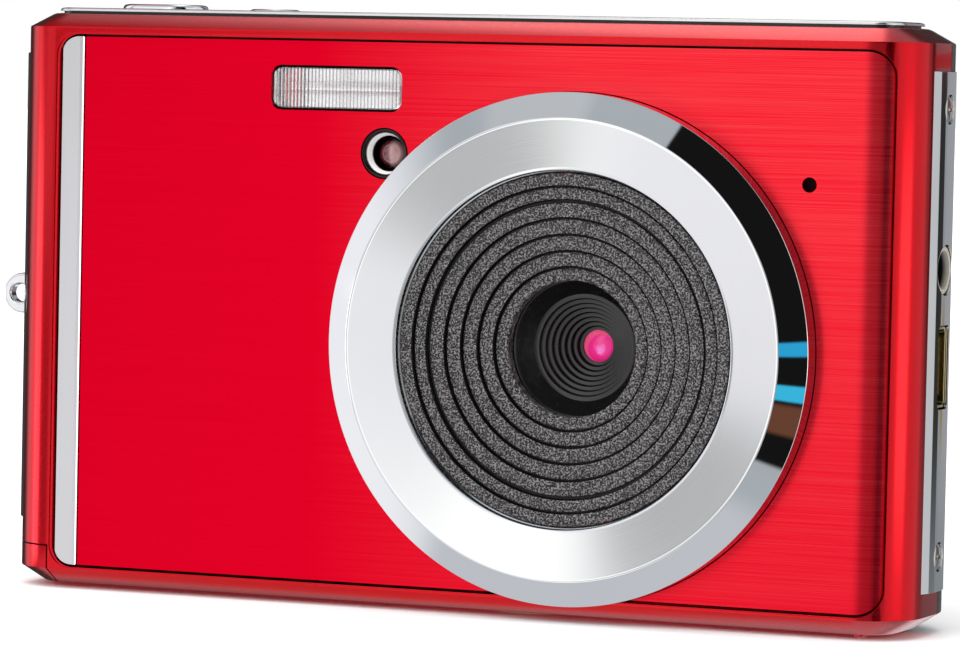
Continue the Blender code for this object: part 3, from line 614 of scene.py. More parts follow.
def top_holes(room=0.0):
    made = [prism_z("shutter_hole", stadium(-36.2, 0.5, 9.2 + room, 6.1 + room), 54, 60)]
    made.append(prism_z("power_hole", circle(-24.0, 0.5, 2.65 + room / 2), 54, 60))
    return made + speaker_holes()


def door_opening(gap):
    return [
        box("door_floor", -43.7 - gap, -8.4 + gap, -5.8 - gap, 8.7, -1, 2.5),
        box("door_cap", -60, -43.7 + gap, -20, 8.7, -1, 3.68),
        box("door_rod", -60, -39.0, 4.6, 8.7, -1, 3.68),
        box("door_cap_high", -60, -43.7 + gap, -20, 6.6 + gap, 0, 4.2 + gap),
    ]


def cover_base(name, front):
    shell = case_solid(name)
    if front:
        waste = box("waste", -70, 70, SEAM_Y - SEAM_GAP, 40, -10, 80)
    else:
        waste = box("waste", -70, 70, -40, SEAM_Y + SEAM_GAP, -10, 80)
    cut(shell, waste, hollow("hollow"))
    top_pocket = prism_z("top_pocket", case_outline(2.95), 56.7, 60)
    bush_hole = prism_z("bush_hole", circle(6.0, 0.8, 5.35), -1, 3)
    pocket_r = box("pocket_r", 45.3, 60, -4.0, 3.45, 4.15, 53.75)
    pocket_l = box("pocket_l", -60, -47.35, -5.0, 2.0, 6.45, 53.75)
    holes = [*side_holes(40, 50), *door_opening(0.16), *top_holes()]
    cut(shell, top_pocket, bush_hole, pocket_r, pocket_l, *holes)
    return shell


def foot(x, y):
    levels = [(0.0, 0.5), (0.05, 0.66), (0.12, 0.7), (0.8, 0.7)]
    return loft("foot", [[(px, py, z) for px, py in circle(x, y, r, 32)] for z, r in levels])


def front_cover():
    shell = cover_base("front_cover_shell", True)
    seat = hole_y("seat", LENS_X, LENS_Z, 24.74, -20, -7.5, 160)
    flash = rounded(FLASH[0], FLASH[1], FLASH[2], FLASH[3], (1.1,) * 4)
    cut(shell, recess_tool(0.24), lip_tool(), seat, hole_y("lens_hole", LENS_X, LENS_Z, 8.75, -12, -5, 96))
    cut(shell, prism_y("flash_hole", flash, -12, -6), hole_y("lamp_hole", LAMP_X, LAMP_Z, 2.5))
    cut(shell, hole_y("mic_hole", MIC_X, MIC_Z, 0.7, steps=32))
    join(shell, foot(41.0, -5.0))
    smooth(shell)
    soft_edges(shell, 0.07)
    return place(shell, "camera", "red_shell", RED, "front_cover")


def front_panel():
    sheet = bent_sheet("front_panel_sheet", PANEL[0], PANEL[1], 0.5, 1.5)
    keep(sheet, prism_y("edge", rounded(*PANEL, (2.4, 2.4, 0.15, 0.15)), -40, 0))
    flash = rounded(FLASH[0], FLASH[1], FLASH[2], FLASH[3], (1.1,) * 4)
    cut(sheet, hole_y("seat", LENS_X, LENS_Z, 24.74, -20, 0, 160), prism_y("flash_hole", flash, -12, -6))
    cut(sheet, hole_y("lamp_hole", LAMP_X, LAMP_Z, 2.5), hole_y("mic_hole", MIC_X, MIC_Z, 0.72, steps=32))
    smooth(sheet)
    soft_edges(sheet, 0.06)
    return place(sheet, "camera", "red_brushed", brushed_red_painted_sheen(), "front_panel")


def panel_gap_shade():
    """Near-black sheet under the panel, put in as painted shade: it closes the bottom of the gap round the
    panel.
    """
    left, right, low, high = STRIP[0] + 0.08, PANEL[1] + 0.21, PANEL[2] - 0.21, PANEL[3] + 0.21
    sheet = bent_sheet("panel_gap_shade", left, right, 1.53, 1.76)
    keep(sheet, prism_y("edge", rounded(left, right, low, high, (2.5, 2.5, 2.1, 2.1)), -40, 0))
    flash = rounded(FLASH[0] + 0.35, FLASH[1] - 0.35, FLASH[2] + 0.35, FLASH[3] - 0.35, (0.9,) * 4)
    cut(sheet, hole_y("seat", LENS_X, LENS_Z, 24.74, -20, 0, 160), prism_y("flash_hole", flash, -12, -6))
    cut(sheet, hole_y("lamp_hole", LAMP_X, LAMP_Z, 2.5))
    smooth(sheet)
    look = Look("gap_shade_black")
    shade_speckle = look.noise((900.0,) * 3, 3.0)
    # The sheet's near-black maroon colour is painted shade for the gap round the panel.
    look.set(Base_Color=look.blend(shade_speckle, (0.004, 0.001, 0.001), (0.020, 0.001, 0.002)))
    look.set(Roughness=look.spread(shade_speckle, 0.3, 0.7, 0.75, 0.9), Specular_IOR_Level=0.2)
    look.bump(shade_speckle, 0.01)
    place(sheet, "camera", "black_part", look.material)


def panel_strip():
    face = -8.8
    section = [(STRIP[0], face + 0.1), (STRIP[0] + 0.22, face - 0.12), (STRIP[1] - 0.5, face - 0.12)]
    section += [(STRIP[1] - 0.42, face - 0.26), (STRIP[1] - 0.1, face - 0.28)]
    section += [(STRIP[1], face - 0.15), (STRIP[1], face + 1.0), (STRIP[0], face + 1.0)]
    strip = prism_z("panel_strip_bar", section, 0, 60)
    keep(strip, prism_y("edge", rounded(*STRIP, (0.1, 0.1, 2.0, 2.0)), -40, 0))
    smooth(strip)
    soft_edges(strip, 0.05)
    look = bright_metal("strip_metal", (0.66, 0.66, 0.675), 0.14, (4000.0, 4000.0, 60.0), 0.001)
    return place(strip, "camera", "bright_strip", look, "panel_strip")


# ---------------------------------------------------------------- lens
def lens_surround():
    profile = [(24.68, -7.8), (24.68, -11.02), (22.2, -12.49)]
    profile += [(22.02, -12.5), (17.5, -11.91), (17.23, -11.84), (17.23, -11.2), (17.0, -11.1), (17.0, -7.8)]
    ring = turned("lens_surround_ring", soften(profile, 0.07, 3), LENS_X, LENS_Z, 240)
    smooth(ring, 40)
    even_normals(ring)
    return place(ring, "camera", "chrome_ring", spun_chrome(), "lens_surround")


def lens_disc():
    profile = [(16.93, -7.8), (16.93, -11.3), (16.86, -11.36)]
    level = -11.35
    for radius, groove in DISC_GROOVES:
        profile += [(radius + groove, level), (radius + groove * 0.8, level + 0.62), (radius, level + 0.66)]
        level += 0.38
        profile.append((radius - 0.03, level))
    profile += [(6.72, level), (6.6, level + 0.12), (6.6, -7.8)]
    disc = turned("lens_disc_steps", soften(profile, 0.04, 2), LENS_X, LENS_Z, 240)
    smooth(disc, 50)
    even_normals(disc)
    return place(disc, "camera", "dark_disc", DISC, "lens_disc")


def lens_cone():
    profile = [(8.4, -4.9), (8.4, -7.5), (6.55, -7.5), (6.3, -7.1), (5.2, -5.45), (4.95, -5.4), (4.78, -5.4)]
    radius, y = 4.78, -5.4
    for index in range(7):
        profile += [(radius, y + 0.34), (radius - 0.14, y + 0.5)]
        radius -= 0.46
        y += 0.5
        profile.append((radius, y))
    profile += [(radius, y + 0.3), (3.4, y + 0.3)]
    cone = turned("lens_cone_funnel", soften(profile, 0.05, 2), LENS_X, LENS_Z, 160)
    smooth(cone, 50)
    even_normals(cone)
    look = Look("cone_black")
    fine = look.noise((1500.0,) * 3, 2.0)
    look.set(Base_Color=look.blend(fine, (0.003, 0.003, 0.003), (0.008, 0.008, 0.009)))
    look.set(Roughness=look.spread(fine, 0.3, 0.7, 0.18, 0.28), Specular_IOR_Level=0.7)
    look.bump(fine, 0.002)
    return place(cone, "camera", "black_cone", look.material, "lens_cone")


def front_lens():
    profile = [(0, -0.35), (2.5, -0.35), (2.5, -1.05), (1.5, -1.12)]
    for i in range(1, 12):
        angle = math.radians(90 * i / 12)
        profile.append((1.5 * math.cos(angle), -1.12 - 0.58 * math.sin(angle)))
    profile.append((0, -1.7))
    lens = turned("front_lens_glass", profile, LENS_X, LENS_Z, 64)
    smooth(lens, 60)
    look = Look("lens_coating_painted_glow")
    radius = look.radius(LENS_X + 0.15, LENS_Z - 0.35)
    cloud = look.math("ADD", radius, look.math("MULTIPLY", look.noise((1400.0,) * 3, 2.0), 0.0008))
    # Painted highlight: a pale violet spot, a little right of and below the middle, on the magenta coating.
    magenta_and_painted_highlight = look.blend(look.spread(cloud, 0.0003, 0.0010, 0.0, 1.0), (0.84, 0.26, 0.74), (0.80, 0.025, 0.24))
    rim = look.blend(look.spread(radius, 0.0013, 0.0017, 0.0, 1.0), magenta_and_painted_highlight, (0.95, 0.12, 0.26))
    look.set(Base_Color=rim, Roughness=0.07, Coat_Weight=0.3, Coat_Roughness=0.02, Specular_IOR_Level=0.5)
    # Painted glow: the lens emits its own colour, though it holds no lamp.
    look.set(Emission_Color=rim, Emission_Strength=0.45)
    return place(lens, "camera", "lens_glass", look.material, "front_lens")


# ---------------------------------------------------------------- flash and lamp
def flash_unit():
    left, right, low, high = FLASH[0] + 0.24, FLASH[1] - 0.24, FLASH[2] + 0.24, FLASH[3] - 0.24
    ribs = 36
    face = []
    for i in range(ribs * 6 + 1):
        x = left + (right - left) * i / (ribs * 6)
        face.append((x, -8.66 - 0.19 * abs(math.sin(math.pi * i / 6))))
    window = prism_z("flash_window_ribbed", face + [(right, -8.0), (left, -8.0)], 40, 60)
    keep(window, prism_y("edge", rounded(left, right, low, high, (1.0,) * 4), -12, -6))
    smooth(window, 25)
    look = Look("flash_clear")
    # Painted light and shade on the ribs: the clear window is coloured pale on each rib's crest and grey in
    # the valleys between ribs.
    start = look.math("SUBTRACT", look.along(0), left * MM + SHIFT.x)
    wave = look.math("SINE", look.math("MULTIPLY", start, math.pi * ribs / ((right - left) * MM)), 0.0)
    painted_rib_light = look.spread(look.math("ABSOLUTE", wave, 0.0), 0.15, 0.75, 0.0, 1.0)
    look.set(Base_Color=look.blend(painted_rib_light, (0.38, 0.38, 0.39), (0.98, 0.98, 0.99)))
    look.set(Roughness=look.spread(look.noise((700.0,) * 3, 2.0), 0.3, 0.7, 0.03, 0.06))
    look.set(Transmission_Weight=0.85, IOR=1.49)
    place(window, "camera", "flash_clear", look.material, "flash_window")
    middle = (low + high) / 2
    trough = []
    for i in range(25):
        t = -1 + i / 12
        trough.append((-3.0 - 2.9 * t * t, middle + 2.55 * t))
    back = [(y + 0.35, middle + (z - middle) * 1.06) for y, z in reversed(trough)]
    bowl = prism_x("flash_reflector_bowl", trough + back, left - 0.3, right + 0.3)
    ends = [box("end", x, x + 0.35, -5.9, -2.7, low - 0.4, high + 0.4) for x in (left - 0.3, right - 0.05)]
    join(bowl, *ends)
    smooth(bowl)
    look = Look("reflector")
    dimple = look.noise((1500.0,) * 3, 2.0)
    look.set(Base_Color=look.blend(dimple, (0.90, 0.90, 0.90), (0.96, 0.96, 0.96)), Metallic=1.0)
    look.set(Roughness=look.spread(dimple, 0.3, 0.7, 0.08, 0.2))
    # Painted glow: the reflector emits a little white light, though it is no lamp.
    look.set(Emission_Color=(1.0, 1.0, 1.0), Emission_Strength=0.2)
    look.bump(dimple, 0.004)
    place(bowl, "camera", "reflector", look.material, "flash_reflector")
    tube = prism_x("flash_tube_glass", circle(-4.9, middle + 0.3, 0.22, 32), left + 0.6, right - 0.6)
    smooth(tube)
    look = Look("flash_tube")
    look.set(Base_Color=look.blend(look.noise((300.0,) * 3), (0.95, 0.95, 0.95), (1.0, 1.0, 1.0)))
    look.set(Roughness=0.1, Emission_Color=(1.0, 1.0, 1.0), Emission_Strength=0.3)
    place(tube, "camera", "clear_glass", look.material, "flash_tube")


def timer_lamp():
    profile = [(2.44, -6.3), (2.44, -8.72), (2.3, -8.78), (2.12, -8.7)]
    profile += [(1.62, -7.2), (1.5, -6.6), (1.5, -6.3)]
    cup = turned("lamp_bezel_cup", soften(profile, 0.08, 3), LAMP_X, LAMP_Z, 96)
    smooth(cup, 40)
    even_normals(cup)
    look = Look("lamp_metal")
    radius = look.radius(LAMP_X, LAMP_Z)
    smear = look.noise((900.0,) * 3, 2.0)
    inner = look.spread(radius, 0.00200, 0.00206, 1.0, 0.0)
    # Painted highlight: a white non-metal ring on the bezel's inner slope.
    painted_shine = look.math("MULTIPLY", inner, look.spread(radius, 0.00172, 0.00178, 0.0, 1.0))
    look.set(Base_Color=look.blend(painted_shine, (0.035, 0.03, 0.03), (0.95, 0.95, 0.95)))
    look.set(Metallic=look.math("SUBTRACT", 1.0, painted_shine))
    look.set(Roughness=look.spread(smear, 0.3, 0.7, 0.03, 0.08))
    look.bump(smear, 0.001)
    place(cup, "camera", "lamp_ring", look.material, "lamp_bezel")
    profile = [(0, -5.9), (1.42, -5.9), (1.42, -6.5)]
    for i in range(1, 14):
        angle = math.radians(90 * i / 14)
        profile.append((1.42 * math.cos(angle), -6.5 - 1.15 * math.sin(angle)))
    profile.append((0, -7.65))
    dome = turned("lamp_lens_dome", profile, LAMP_X, LAMP_Z, 64)
    smooth(dome, 60)
    look = Look("lamp_dome")
    side = look.math("ADD", look.along(0), look.math("MULTIPLY", look.noise((900.0,) * 3), 0.0004))
    # Painted highlight: the dome's right half is painted paler than its dark red left half.
    painted_lit_half = look.spread(side, (LAMP_X + 0.05) * MM + SHIFT.x, (LAMP_X + 0.45) * MM + SHIFT.x, 0.0, 1.0)
    look.set(Base_Color=look.blend(painted_lit_half, (0.11, 0.012, 0.02), (0.42, 0.22, 0.22)))
    look.set(Roughness=0.08, Coat_Weight=1.0, Coat_Roughness=0.03, Specular_IOR_Level=1.0)
    place(dome, "camera", "lamp_dome", look.material, "lamp_lens")


# ---------------------------------------------------------------- sides
def side_trims():
    section = [(46.40, -3.9), (46.44, -3.84), (46.83, -2.42)]
    crown = (-2.25, -1.6, -1.0, -0.4, 0.2, 0.8, 1.4, 2.0, 2.4)
    section += [(46.9 - 0.13 * ((y - 0.1) / 2.3) ** 2, y) for y in crown]
    section += [(46.36, 3.3), (45.6, 3.3), (45.6, -3.9)]
    bar = prism_z("side_trim_right_bar", section, 4.2, 53.7)
    seats = [prism_x("seat", circle(SOCKET_Y, z, 1.42, 48), 46.1, 50) for z in SCREW_Z]
    cut(bar, *side_holes(42, 50), *seats)
    smooth(bar, 12)
    soft_edges(bar, 0.1, 2)
    look = bright_metal("trim_chrome", (0.84, 0.85, 0.86), 0.06, (900.0, 900.0, 120.0))
    place(bar, "camera", "chrome_trim", look, "side_trim_right")
    section = [(-48.42, -4.9), (-48.7, -4.75), (-49.45, -3.9), (-49.6, -3.6), (-49.6, 0.4), (-49.45, 0.7)]
    section += [(-48.3, 1.8), (-47.65, 1.8), (-47.65, -4.9)]
    bar = prism_z("side_trim_left_bar", section, 6.5, 53.7)
    cut(bar, box("slot", -51, -46, LUG_Y - 0.8, LUG_Y + 0.8, LUG_Z - 2.3, LUG_Z + 2.3))
    smooth(bar, 12)
    soft_edges(bar, 0.12, 2)
    place(bar, "camera", "chrome_trim", look, "side_trim_left")


def trim_screws():
    for name, z in zip(("trim_screw_lower", "trim_screw_upper"), SCREW_Z):
        levels = [(46.3, 1.3), (46.6, 1.3), (46.7, 1.24), (46.8, 1.08), (46.87, 0.8), (46.9, 0.4)]
        head = loft(name + "_head", [[(x, y, pz) for y, pz in circle(SOCKET_Y, z, r, 48)] for x, r in levels])
        slot = box("slot", 46.5, 48, SOCKET_Y - 0.16, SOCKET_Y + 0.16, z - 0.85, z + 0.85)
        cross = box("cross", 46.5, 48, SOCKET_Y - 0.85, SOCKET_Y + 0.85, z - 0.16, z + 0.16)
        cut(head, slot, cross)
        join(head, prism_x("shank", circle(SOCKET_Y, z, 0.7, 24), 42.6, 46.4))
        smooth(head)
        soft_edges(head, 0.05)
        place(head, "camera", "steel", STEEL, name)


def strap_lug():
    outline = [(-47.75, LUG_Z - 2.05), (-47.75, LUG_Z + 2.05)]
    for i in range(33):
        angle = math.radians(90 + 180 * i / 32)
        outline.append((-50.98 + 2.05 * math.cos(angle), LUG_Z + 2.05 * math.sin(angle)))
    lug = prism_y("strap_lug_loop", outline, LUG_Y - 0.68, LUG_Y + 0.68)
    cut(lug, prism_y("eye", stadium(-51.2, LUG_Z, 1.9, 1.8), -5, 5))
    smooth(lug)
    soft_edges(lug, 0.3, 4)
    place(lug, "camera", "steel", CHROME, "strap_lug")


def sockets():
    jack = prism_x("jack_socket_body", socket_outline(JACK_Z, 2.55, 2.55, 0.3), 37.0, 44.2)
    join(jack, prism_x("nose", circle(SOCKET_Y, JACK_Z, 2.3, 64), 43.5, 46.62))
    cut(jack, prism_x("bore", circle(SOCKET_Y, JACK_Z, 1.85, 64), 38.5, 50))
    smooth(jack)
    soft_edges(jack, 0.12, 3)
    look = Look("socket_cream")
    grain = look.noise((2500.0,) * 3, 3.0)
    cream = look.blend(grain, (0.34, 0.31, 0.26), (0.50, 0.47, 0.41))
    # Painted shade: deeper in than the nose face the socket is painted near-black, the shade in its bore.
    depth = look.spread(look.along(0), 45.9 * MM + SHIFT.x, 46.4 * MM + SHIFT.x, 0.0, 1.0)
    look.set(Base_Color=look.blend(depth, (0.006, 0.006, 0.006), cream))
    look.set(Roughness=look.spread(grain, 0.3, 0.7, 0.3, 0.45))
    look.bump(grain, 0.004)
    place(jack, "camera", "cream_plastic", look.material, "jack_socket")
    usb = prism_x("usb_socket_body", socket_outline(USB_Z, 2.0, 4.25, 0.3), 38.0, 44.2)
    join(usb, prism_x("nose", socket_outline(USB_Z, 1.52, 3.85, 0.62), 43.5, 46.55))
    cut(usb, prism_x("mouth", socket_outline(USB_Z, 1.27, 3.6, 0.45), 39.0, 50))
    join(usb, box("tongue", 38.5, 45.6, SOCKET_Y - 0.3, SOCKET_Y + 0.3, USB_Z - 2.7, USB_Z + 2.7))
    for i in range(5):
        z = USB_Z - 2.0 + i
        join(usb, box("contact", 39.5, 45.4, SOCKET_Y - 0.38, SOCKET_Y + 0.2, z - 0.25, z + 0.25))
    smooth(usb)
    soft_edges(usb, 0.06)
    place(usb, "camera", "port_metal", bright_metal("port_metal", (0.66, 0.56, 0.32), 0.16), "usb_socket")


# ---------------------------------------------------------------- rear, top, door
def rear_cover():
    shell = cover_base("rear_cover_shell", False)
    left, right, low, high = SCREEN
    pocket = rounded(left - 0.1, right + 0.1, low - 0.1, high + 0.1, (1.2,) * 4)
    cut(shell, prism_y("pocket", pocket, 9.35, 20))
    cut(shell, box("view", left + 2, right - 2, 5, 20, low + 2, high - 2))
    cut(shell, hole_y("pad_hole", -26.5, 26.0, 8.1, 5, 20, 96))
    for x, z in ((-19.5, 41.0), (-33.5, 41.0), (-33.5, 10.5)):
        cut(shell, hole_y("key_hole", x, z, 2.5, 5, 20, 48))
    cut(shell, prism_y("zoom_hole", rounded(-34.5, -20.5, 47.0, 52.0, (1.5,) * 4), 5, 20))
    join(shell, foot(38.0, 5.0))
    close_gaps(shell)
    smooth(shell)
    soft_edges(shell, 0.1)
    place(shell, "camera", "black_shell", BLACK, "rear_cover")


def top_cover():
    levels = [(57.0, 3.0), (57.73, 3.0), (57.73, 3.35), (57.96, 3.35), (57.96, 3.0)]
    levels += [(58.05, 3.0), (58.17, 3.05), (58.26, 3.2), (58.3, 3.5)]
    panel = loft("top_cover_panel", [[(x, y, z) for x, y in case_outline(i)] for z, i in levels])
    cut(panel, *top_holes())
    smooth(panel, 35)
    look = Look("satin_top")
    smear = look.noise((90.0,) * 3, 3.0)
    brush = look.noise((60.0, 5000.0, 5000.0), 2.0)
    silver = look.blend(look.spread(smear, 0.3, 0.7, 0.0, 1.0), (0.80, 0.80, 0.81), (0.76, 0.76, 0.77))
    # Painted shadow: the groove and the wall under the silver top are painted black and non-metal, a shadow
    # line under the rim.
    clear_of_painted_shadow = look.spread(look.along(2), 57.96 * MM + SHIFT.z, 57.99 * MM + SHIFT.z, 0.0, 1.0)
    look.set(Base_Color=look.blend(clear_of_painted_shadow, (0.01, 0.01, 0.01), silver), Metallic=clear_of_painted_shadow)
    look.set(Roughness=look.spread(brush, 0.3, 0.7, 0.21, 0.34))
    look.bump(brush, 0.003)
    place(panel, "camera", "silver_top", look.material, "top_cover")


def top_buttons():
    shape = [(54.4, 1.4), (54.9, 1.4), (54.9, 0.0), (58.45, 0.0)]
    shape += [(58.62, -0.12), (58.74, -0.45), (58.8, -1.1)]
    outlines = [[(x, y, z) for x, y in stadium(-36.2, 0.5, 8.9 + g, 5.8 + g, 24)] for z, g in shape]
    button = loft("shutter_button_cap", outlines)
    smooth(button, 40)
    place(button, "shutter", "chrome_button", CHROME, "shutter_button")
    shape = [(54.4, 3.2), (54.9, 3.2), (54.9, 2.5), (58.3, 2.5), (58.42, 2.42), (58.5, 2.2)]
    button = loft("power_button_cap", [[(x, y, z) for x, y in circle(-24.0, 0.5, r, 64)] for z, r in shape])
    smooth(button, 40)
    place(button, "power", "chrome_button", CHROME, "power_button")


def close_gaps(piece):
    """Fill the few faces that the Booleans leave out around the door's hinge."""
    work = bmesh.new()
    work.from_mesh(piece.data)
    bmesh.ops.holes_fill(work, edges=[e for e in work.edges if e.is_boundary], sides=0)
    bmesh.ops.edgeloop_fill(work, edges=[e for e in work.edges if e.is_boundary])
    bmesh.ops.recalc_face_normals(work, faces=work.faces)
    work.to_mesh(piece.data)
    work.free()


def battery_door():
    door = case_solid("battery_door_panel")
    region = box("plate", -45.7, -8.4, -5.8, 6.6, -1, 1.95)
    join(region, box("cap", -60, -43.7, -20, 6.6, -1, 4.2))
    keep(door, region)
    inner = plan(HOLLOW_LEFT, HOLLOW_RIGHT, HOLLOW_FRONT, HOLLOW_BACK, *HOLLOW_CORNERS)
    cut(door, prism_z("inside", inner, 1.95, 10))
    barrel = circle(6.6, 1.9, 1.48, 48)
    end = keep(case_solid("end"), prism_x("end_rod", barrel, -60, -39.8))
    for x0, x1 in ((-39.5, -33.8), (-12.9, 0.0)):
        cut(door, box("notch", x0, x1, 4.8, 12, -1, 4))
    join(door, end, prism_x("knuckle", barrel, -33.8, -12.9))
    cut(door, prism_x("bore", circle(6.6, 1.9, 0.9, 32), -43.4, 0))
    join(door, foot(-38.0, -3.5), foot(-38.0, 3.5))
    cut(door, *[box("grip", -41.5 + 1.1 * i, -41.0 + 1.1 * i, -2.5, 2.5, -1, 0.65) for i in range(5)])
    close_gaps(door)
    smooth(door)
    soft_edges(door, 0.06)
    place(door, "door", "red_shell", RED, "battery_door")


def key_silver():
    """Dark silver paint with a pale round mark on each key."""
    look = Look("key_silver")
    flake = look.noise((3000.0,) * 3, 2.0)
    colour = look.blend(flake, (0.13, 0.135, 0.145), (0.18, 0.185, 0.195))
    for x, z in KEY_MARKS:
        mark = look.spread(look.radius(x, z), 0.00036, 0.00040, 1.0, 0.0)
        colour = look.blend(mark, colour, (0.75, 0.76, 0.78))
    look.set(Base_Color=colour, Metallic=0.3, Roughness=look.spread(flake, 0.3, 0.7, 0.26, 0.36))
    look.bump(flake, 0.001)
    return look.material


def carried_nodes():
    """Nodes whose CAD shape stays: better materials and, on the keys, a small bevel."""
    key = key_silver()
    board = gloss_plastic("board_green", (0.015, 0.10, 0.04), 0.35, 0.01)
    part = grained_plastic("inner_grey", (0.05, 0.05, 0.052), (0.09, 0.09, 0.095), 0.4, 0.01, 0.5)
    looks = {
        "screen_window": gloss_plastic("screen_glass", (0.006, 0.006, 0.008), 0.05, 0.0003),
        "screen_panel": gloss_plastic("panel_dark", (0.02, 0.022, 0.03), 0.2),
        "tripod_bush": bright_metal("brass", (0.62, 0.50, 0.28), 0.25, (3000.0, 3000.0, 200.0), 0.002),
        "battery_contacts": bright_metal("gold", (0.80, 0.60, 0.22), 0.2),
        "battery": gloss_plastic("cell_wrap", (0.03, 0.05, 0.12), 0.35, 0.003),
        "memory_card": grained_plastic("card_body", (0.02, 0.03, 0.08), (0.04, 0.05, 0.11), 0.3, 0.003, 0.4),
        "card_socket": STEEL, "door_pin": STEEL, "microphone": STEEL,
        "image_sensor": gloss_plastic("sensor", (0.03, 0.05, 0.08), 0.1),
        "rear_lens": clear("rear_glass", (0.8, 0.9, 0.95), 0.03, 0.9),
        "timer_led": gloss_plastic("led_red", (0.6, 0.03, 0.02), 0.12),
    }
    for name in ("button_board", "key_board", "main_board"):
        looks[name] = board
    for name in ("lens_barrel", "flash_capacitor", "speaker", "inner_frame"):
        looks[name] = part
    for name in ("up_key", "down_key", "left_key", "right_key", "ok_button", "menu_button", "play_button",
                 "delete_button", "zoom_rocker"):
        looks[name] = key
        soft_edges(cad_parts[name], 0.12, 3, 50)
    for name, look in looks.items():
        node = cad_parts[name]
        node.data.materials.clear()
        node.data.materials.append(look)


# ---------------------------------------------------------------- studio
def direction(azimuth, elevation):
    a, e = math.radians(azimuth), math.radians(elevation)
    return Vector((math.sin(a) * math.cos(e), -math.cos(a) * math.cos(e), math.sin(e)))


# Light and dark areas of the room: azimuth and elevation limits (0 = straight ahead of the
# camera's front, positive = towards +X), edge softness in degrees, grey or RGB brightness
ROOM = [
    ((-60, -3, -62, 45), 4, (0.98, 0.97, 1.00)),     # large soft box in front, on the left
    ((-24, -13, -40, 40), 4, (1.35, 1.35, 1.30)),    # its brighter middle
    ((-62, -40, -9, 4), 3, (0.35, 0.35, 0.36)),      # gap beside it, at the object's height
    ((-104, -76, -60, 60), 7, (1.02, 1.02, 1.05)),   # paler screen on the left
    ((-82, -64, -11, 6), 3, (3.1, 3.1, 3.2)),        # thin light bar on the left
    ((55, 100, -40, 40), 6, (0.90, 0.88, 0.84)),     # screen on the right
    ((72, 94, -11, 6), 4, (2.8, 2.6, 2.4)),          # thin light bar on the right
    ((100, 133, -60, 50), 4, (0.80, 0.80, 0.81)),    # pale wall seen by the trim's bevel
    ((133, 143, -60, 50), 4, (0.32, 0.32, 0.33)),    # its darker end
    ((-134, -30, 44, 80), 5, (0.58, 0.60, 0.62)),    # overhead bank
    ((-166, -145, 41, 75), 4, (2.0, 1.95, 1.9)),     # overhead light, behind on the left
    ((-180, 180, -90, -40), 4, (0.62, 0.64, 0.67)),  # floor close to the object
    ((-150, -132, -58, -43), 4, (0.85, 0.08, 0.09)), # red cast of the object on it
]
DARK = [
    ((143, 158, -60, 40), 2, (0.03, 0.03, 0.03)),
    ((158, 180, -60, 40), 2, (0.34, 0.35, 0.37)),
    ((143, 180, -60, -5.2), 1.5, (0.22, 0.24, 0.25)),
    ((150, 176, 0.5, 3.0), 0.3, (0.50, 0.03, 0.04)),
    ((-180, -112, -38, 38), 5, (0.05, 0.05, 0.05)),
    ((-139, -112, 30, 62), 3, (0.42, 0.02, 0.03)),
    ((6, 40, -29, 22), 4, (0.42, 0.42, 0.42)),
    ((-180, -162, -34, -8), 5, (0.85, 0.87, 0.90)),
    ((177, 180, -34, -8), 2, (0.85, 0.87, 0.90)),
    ((7.5, 50, 19, 58), 0.7, (0.008, 0.008, 0.008)),
    ((33, 50, -29, 24), 0.7, (0.008, 0.008, 0.008)),
]
TINTS = [
    ((38, 46, -2.3, 1.1), 0.4, (0.03, 0.42, 0.75)),
    ((38, 46, -13.2, -9.4), 0.4, (0.05, 0.55, 0.85)),
    ((38, 46, -21.4, -14.2), 0.8, (0.16, 0.06, 0.035)),
    ((159, 163, -4.1, -2.6), 0.5, (0.30, 0.21, 0.03)),
]
SECTORS = [(-16.0, -13.5, 3, 9, 0.52), (-32.0, 7.0, 5, 9, 0.50)]


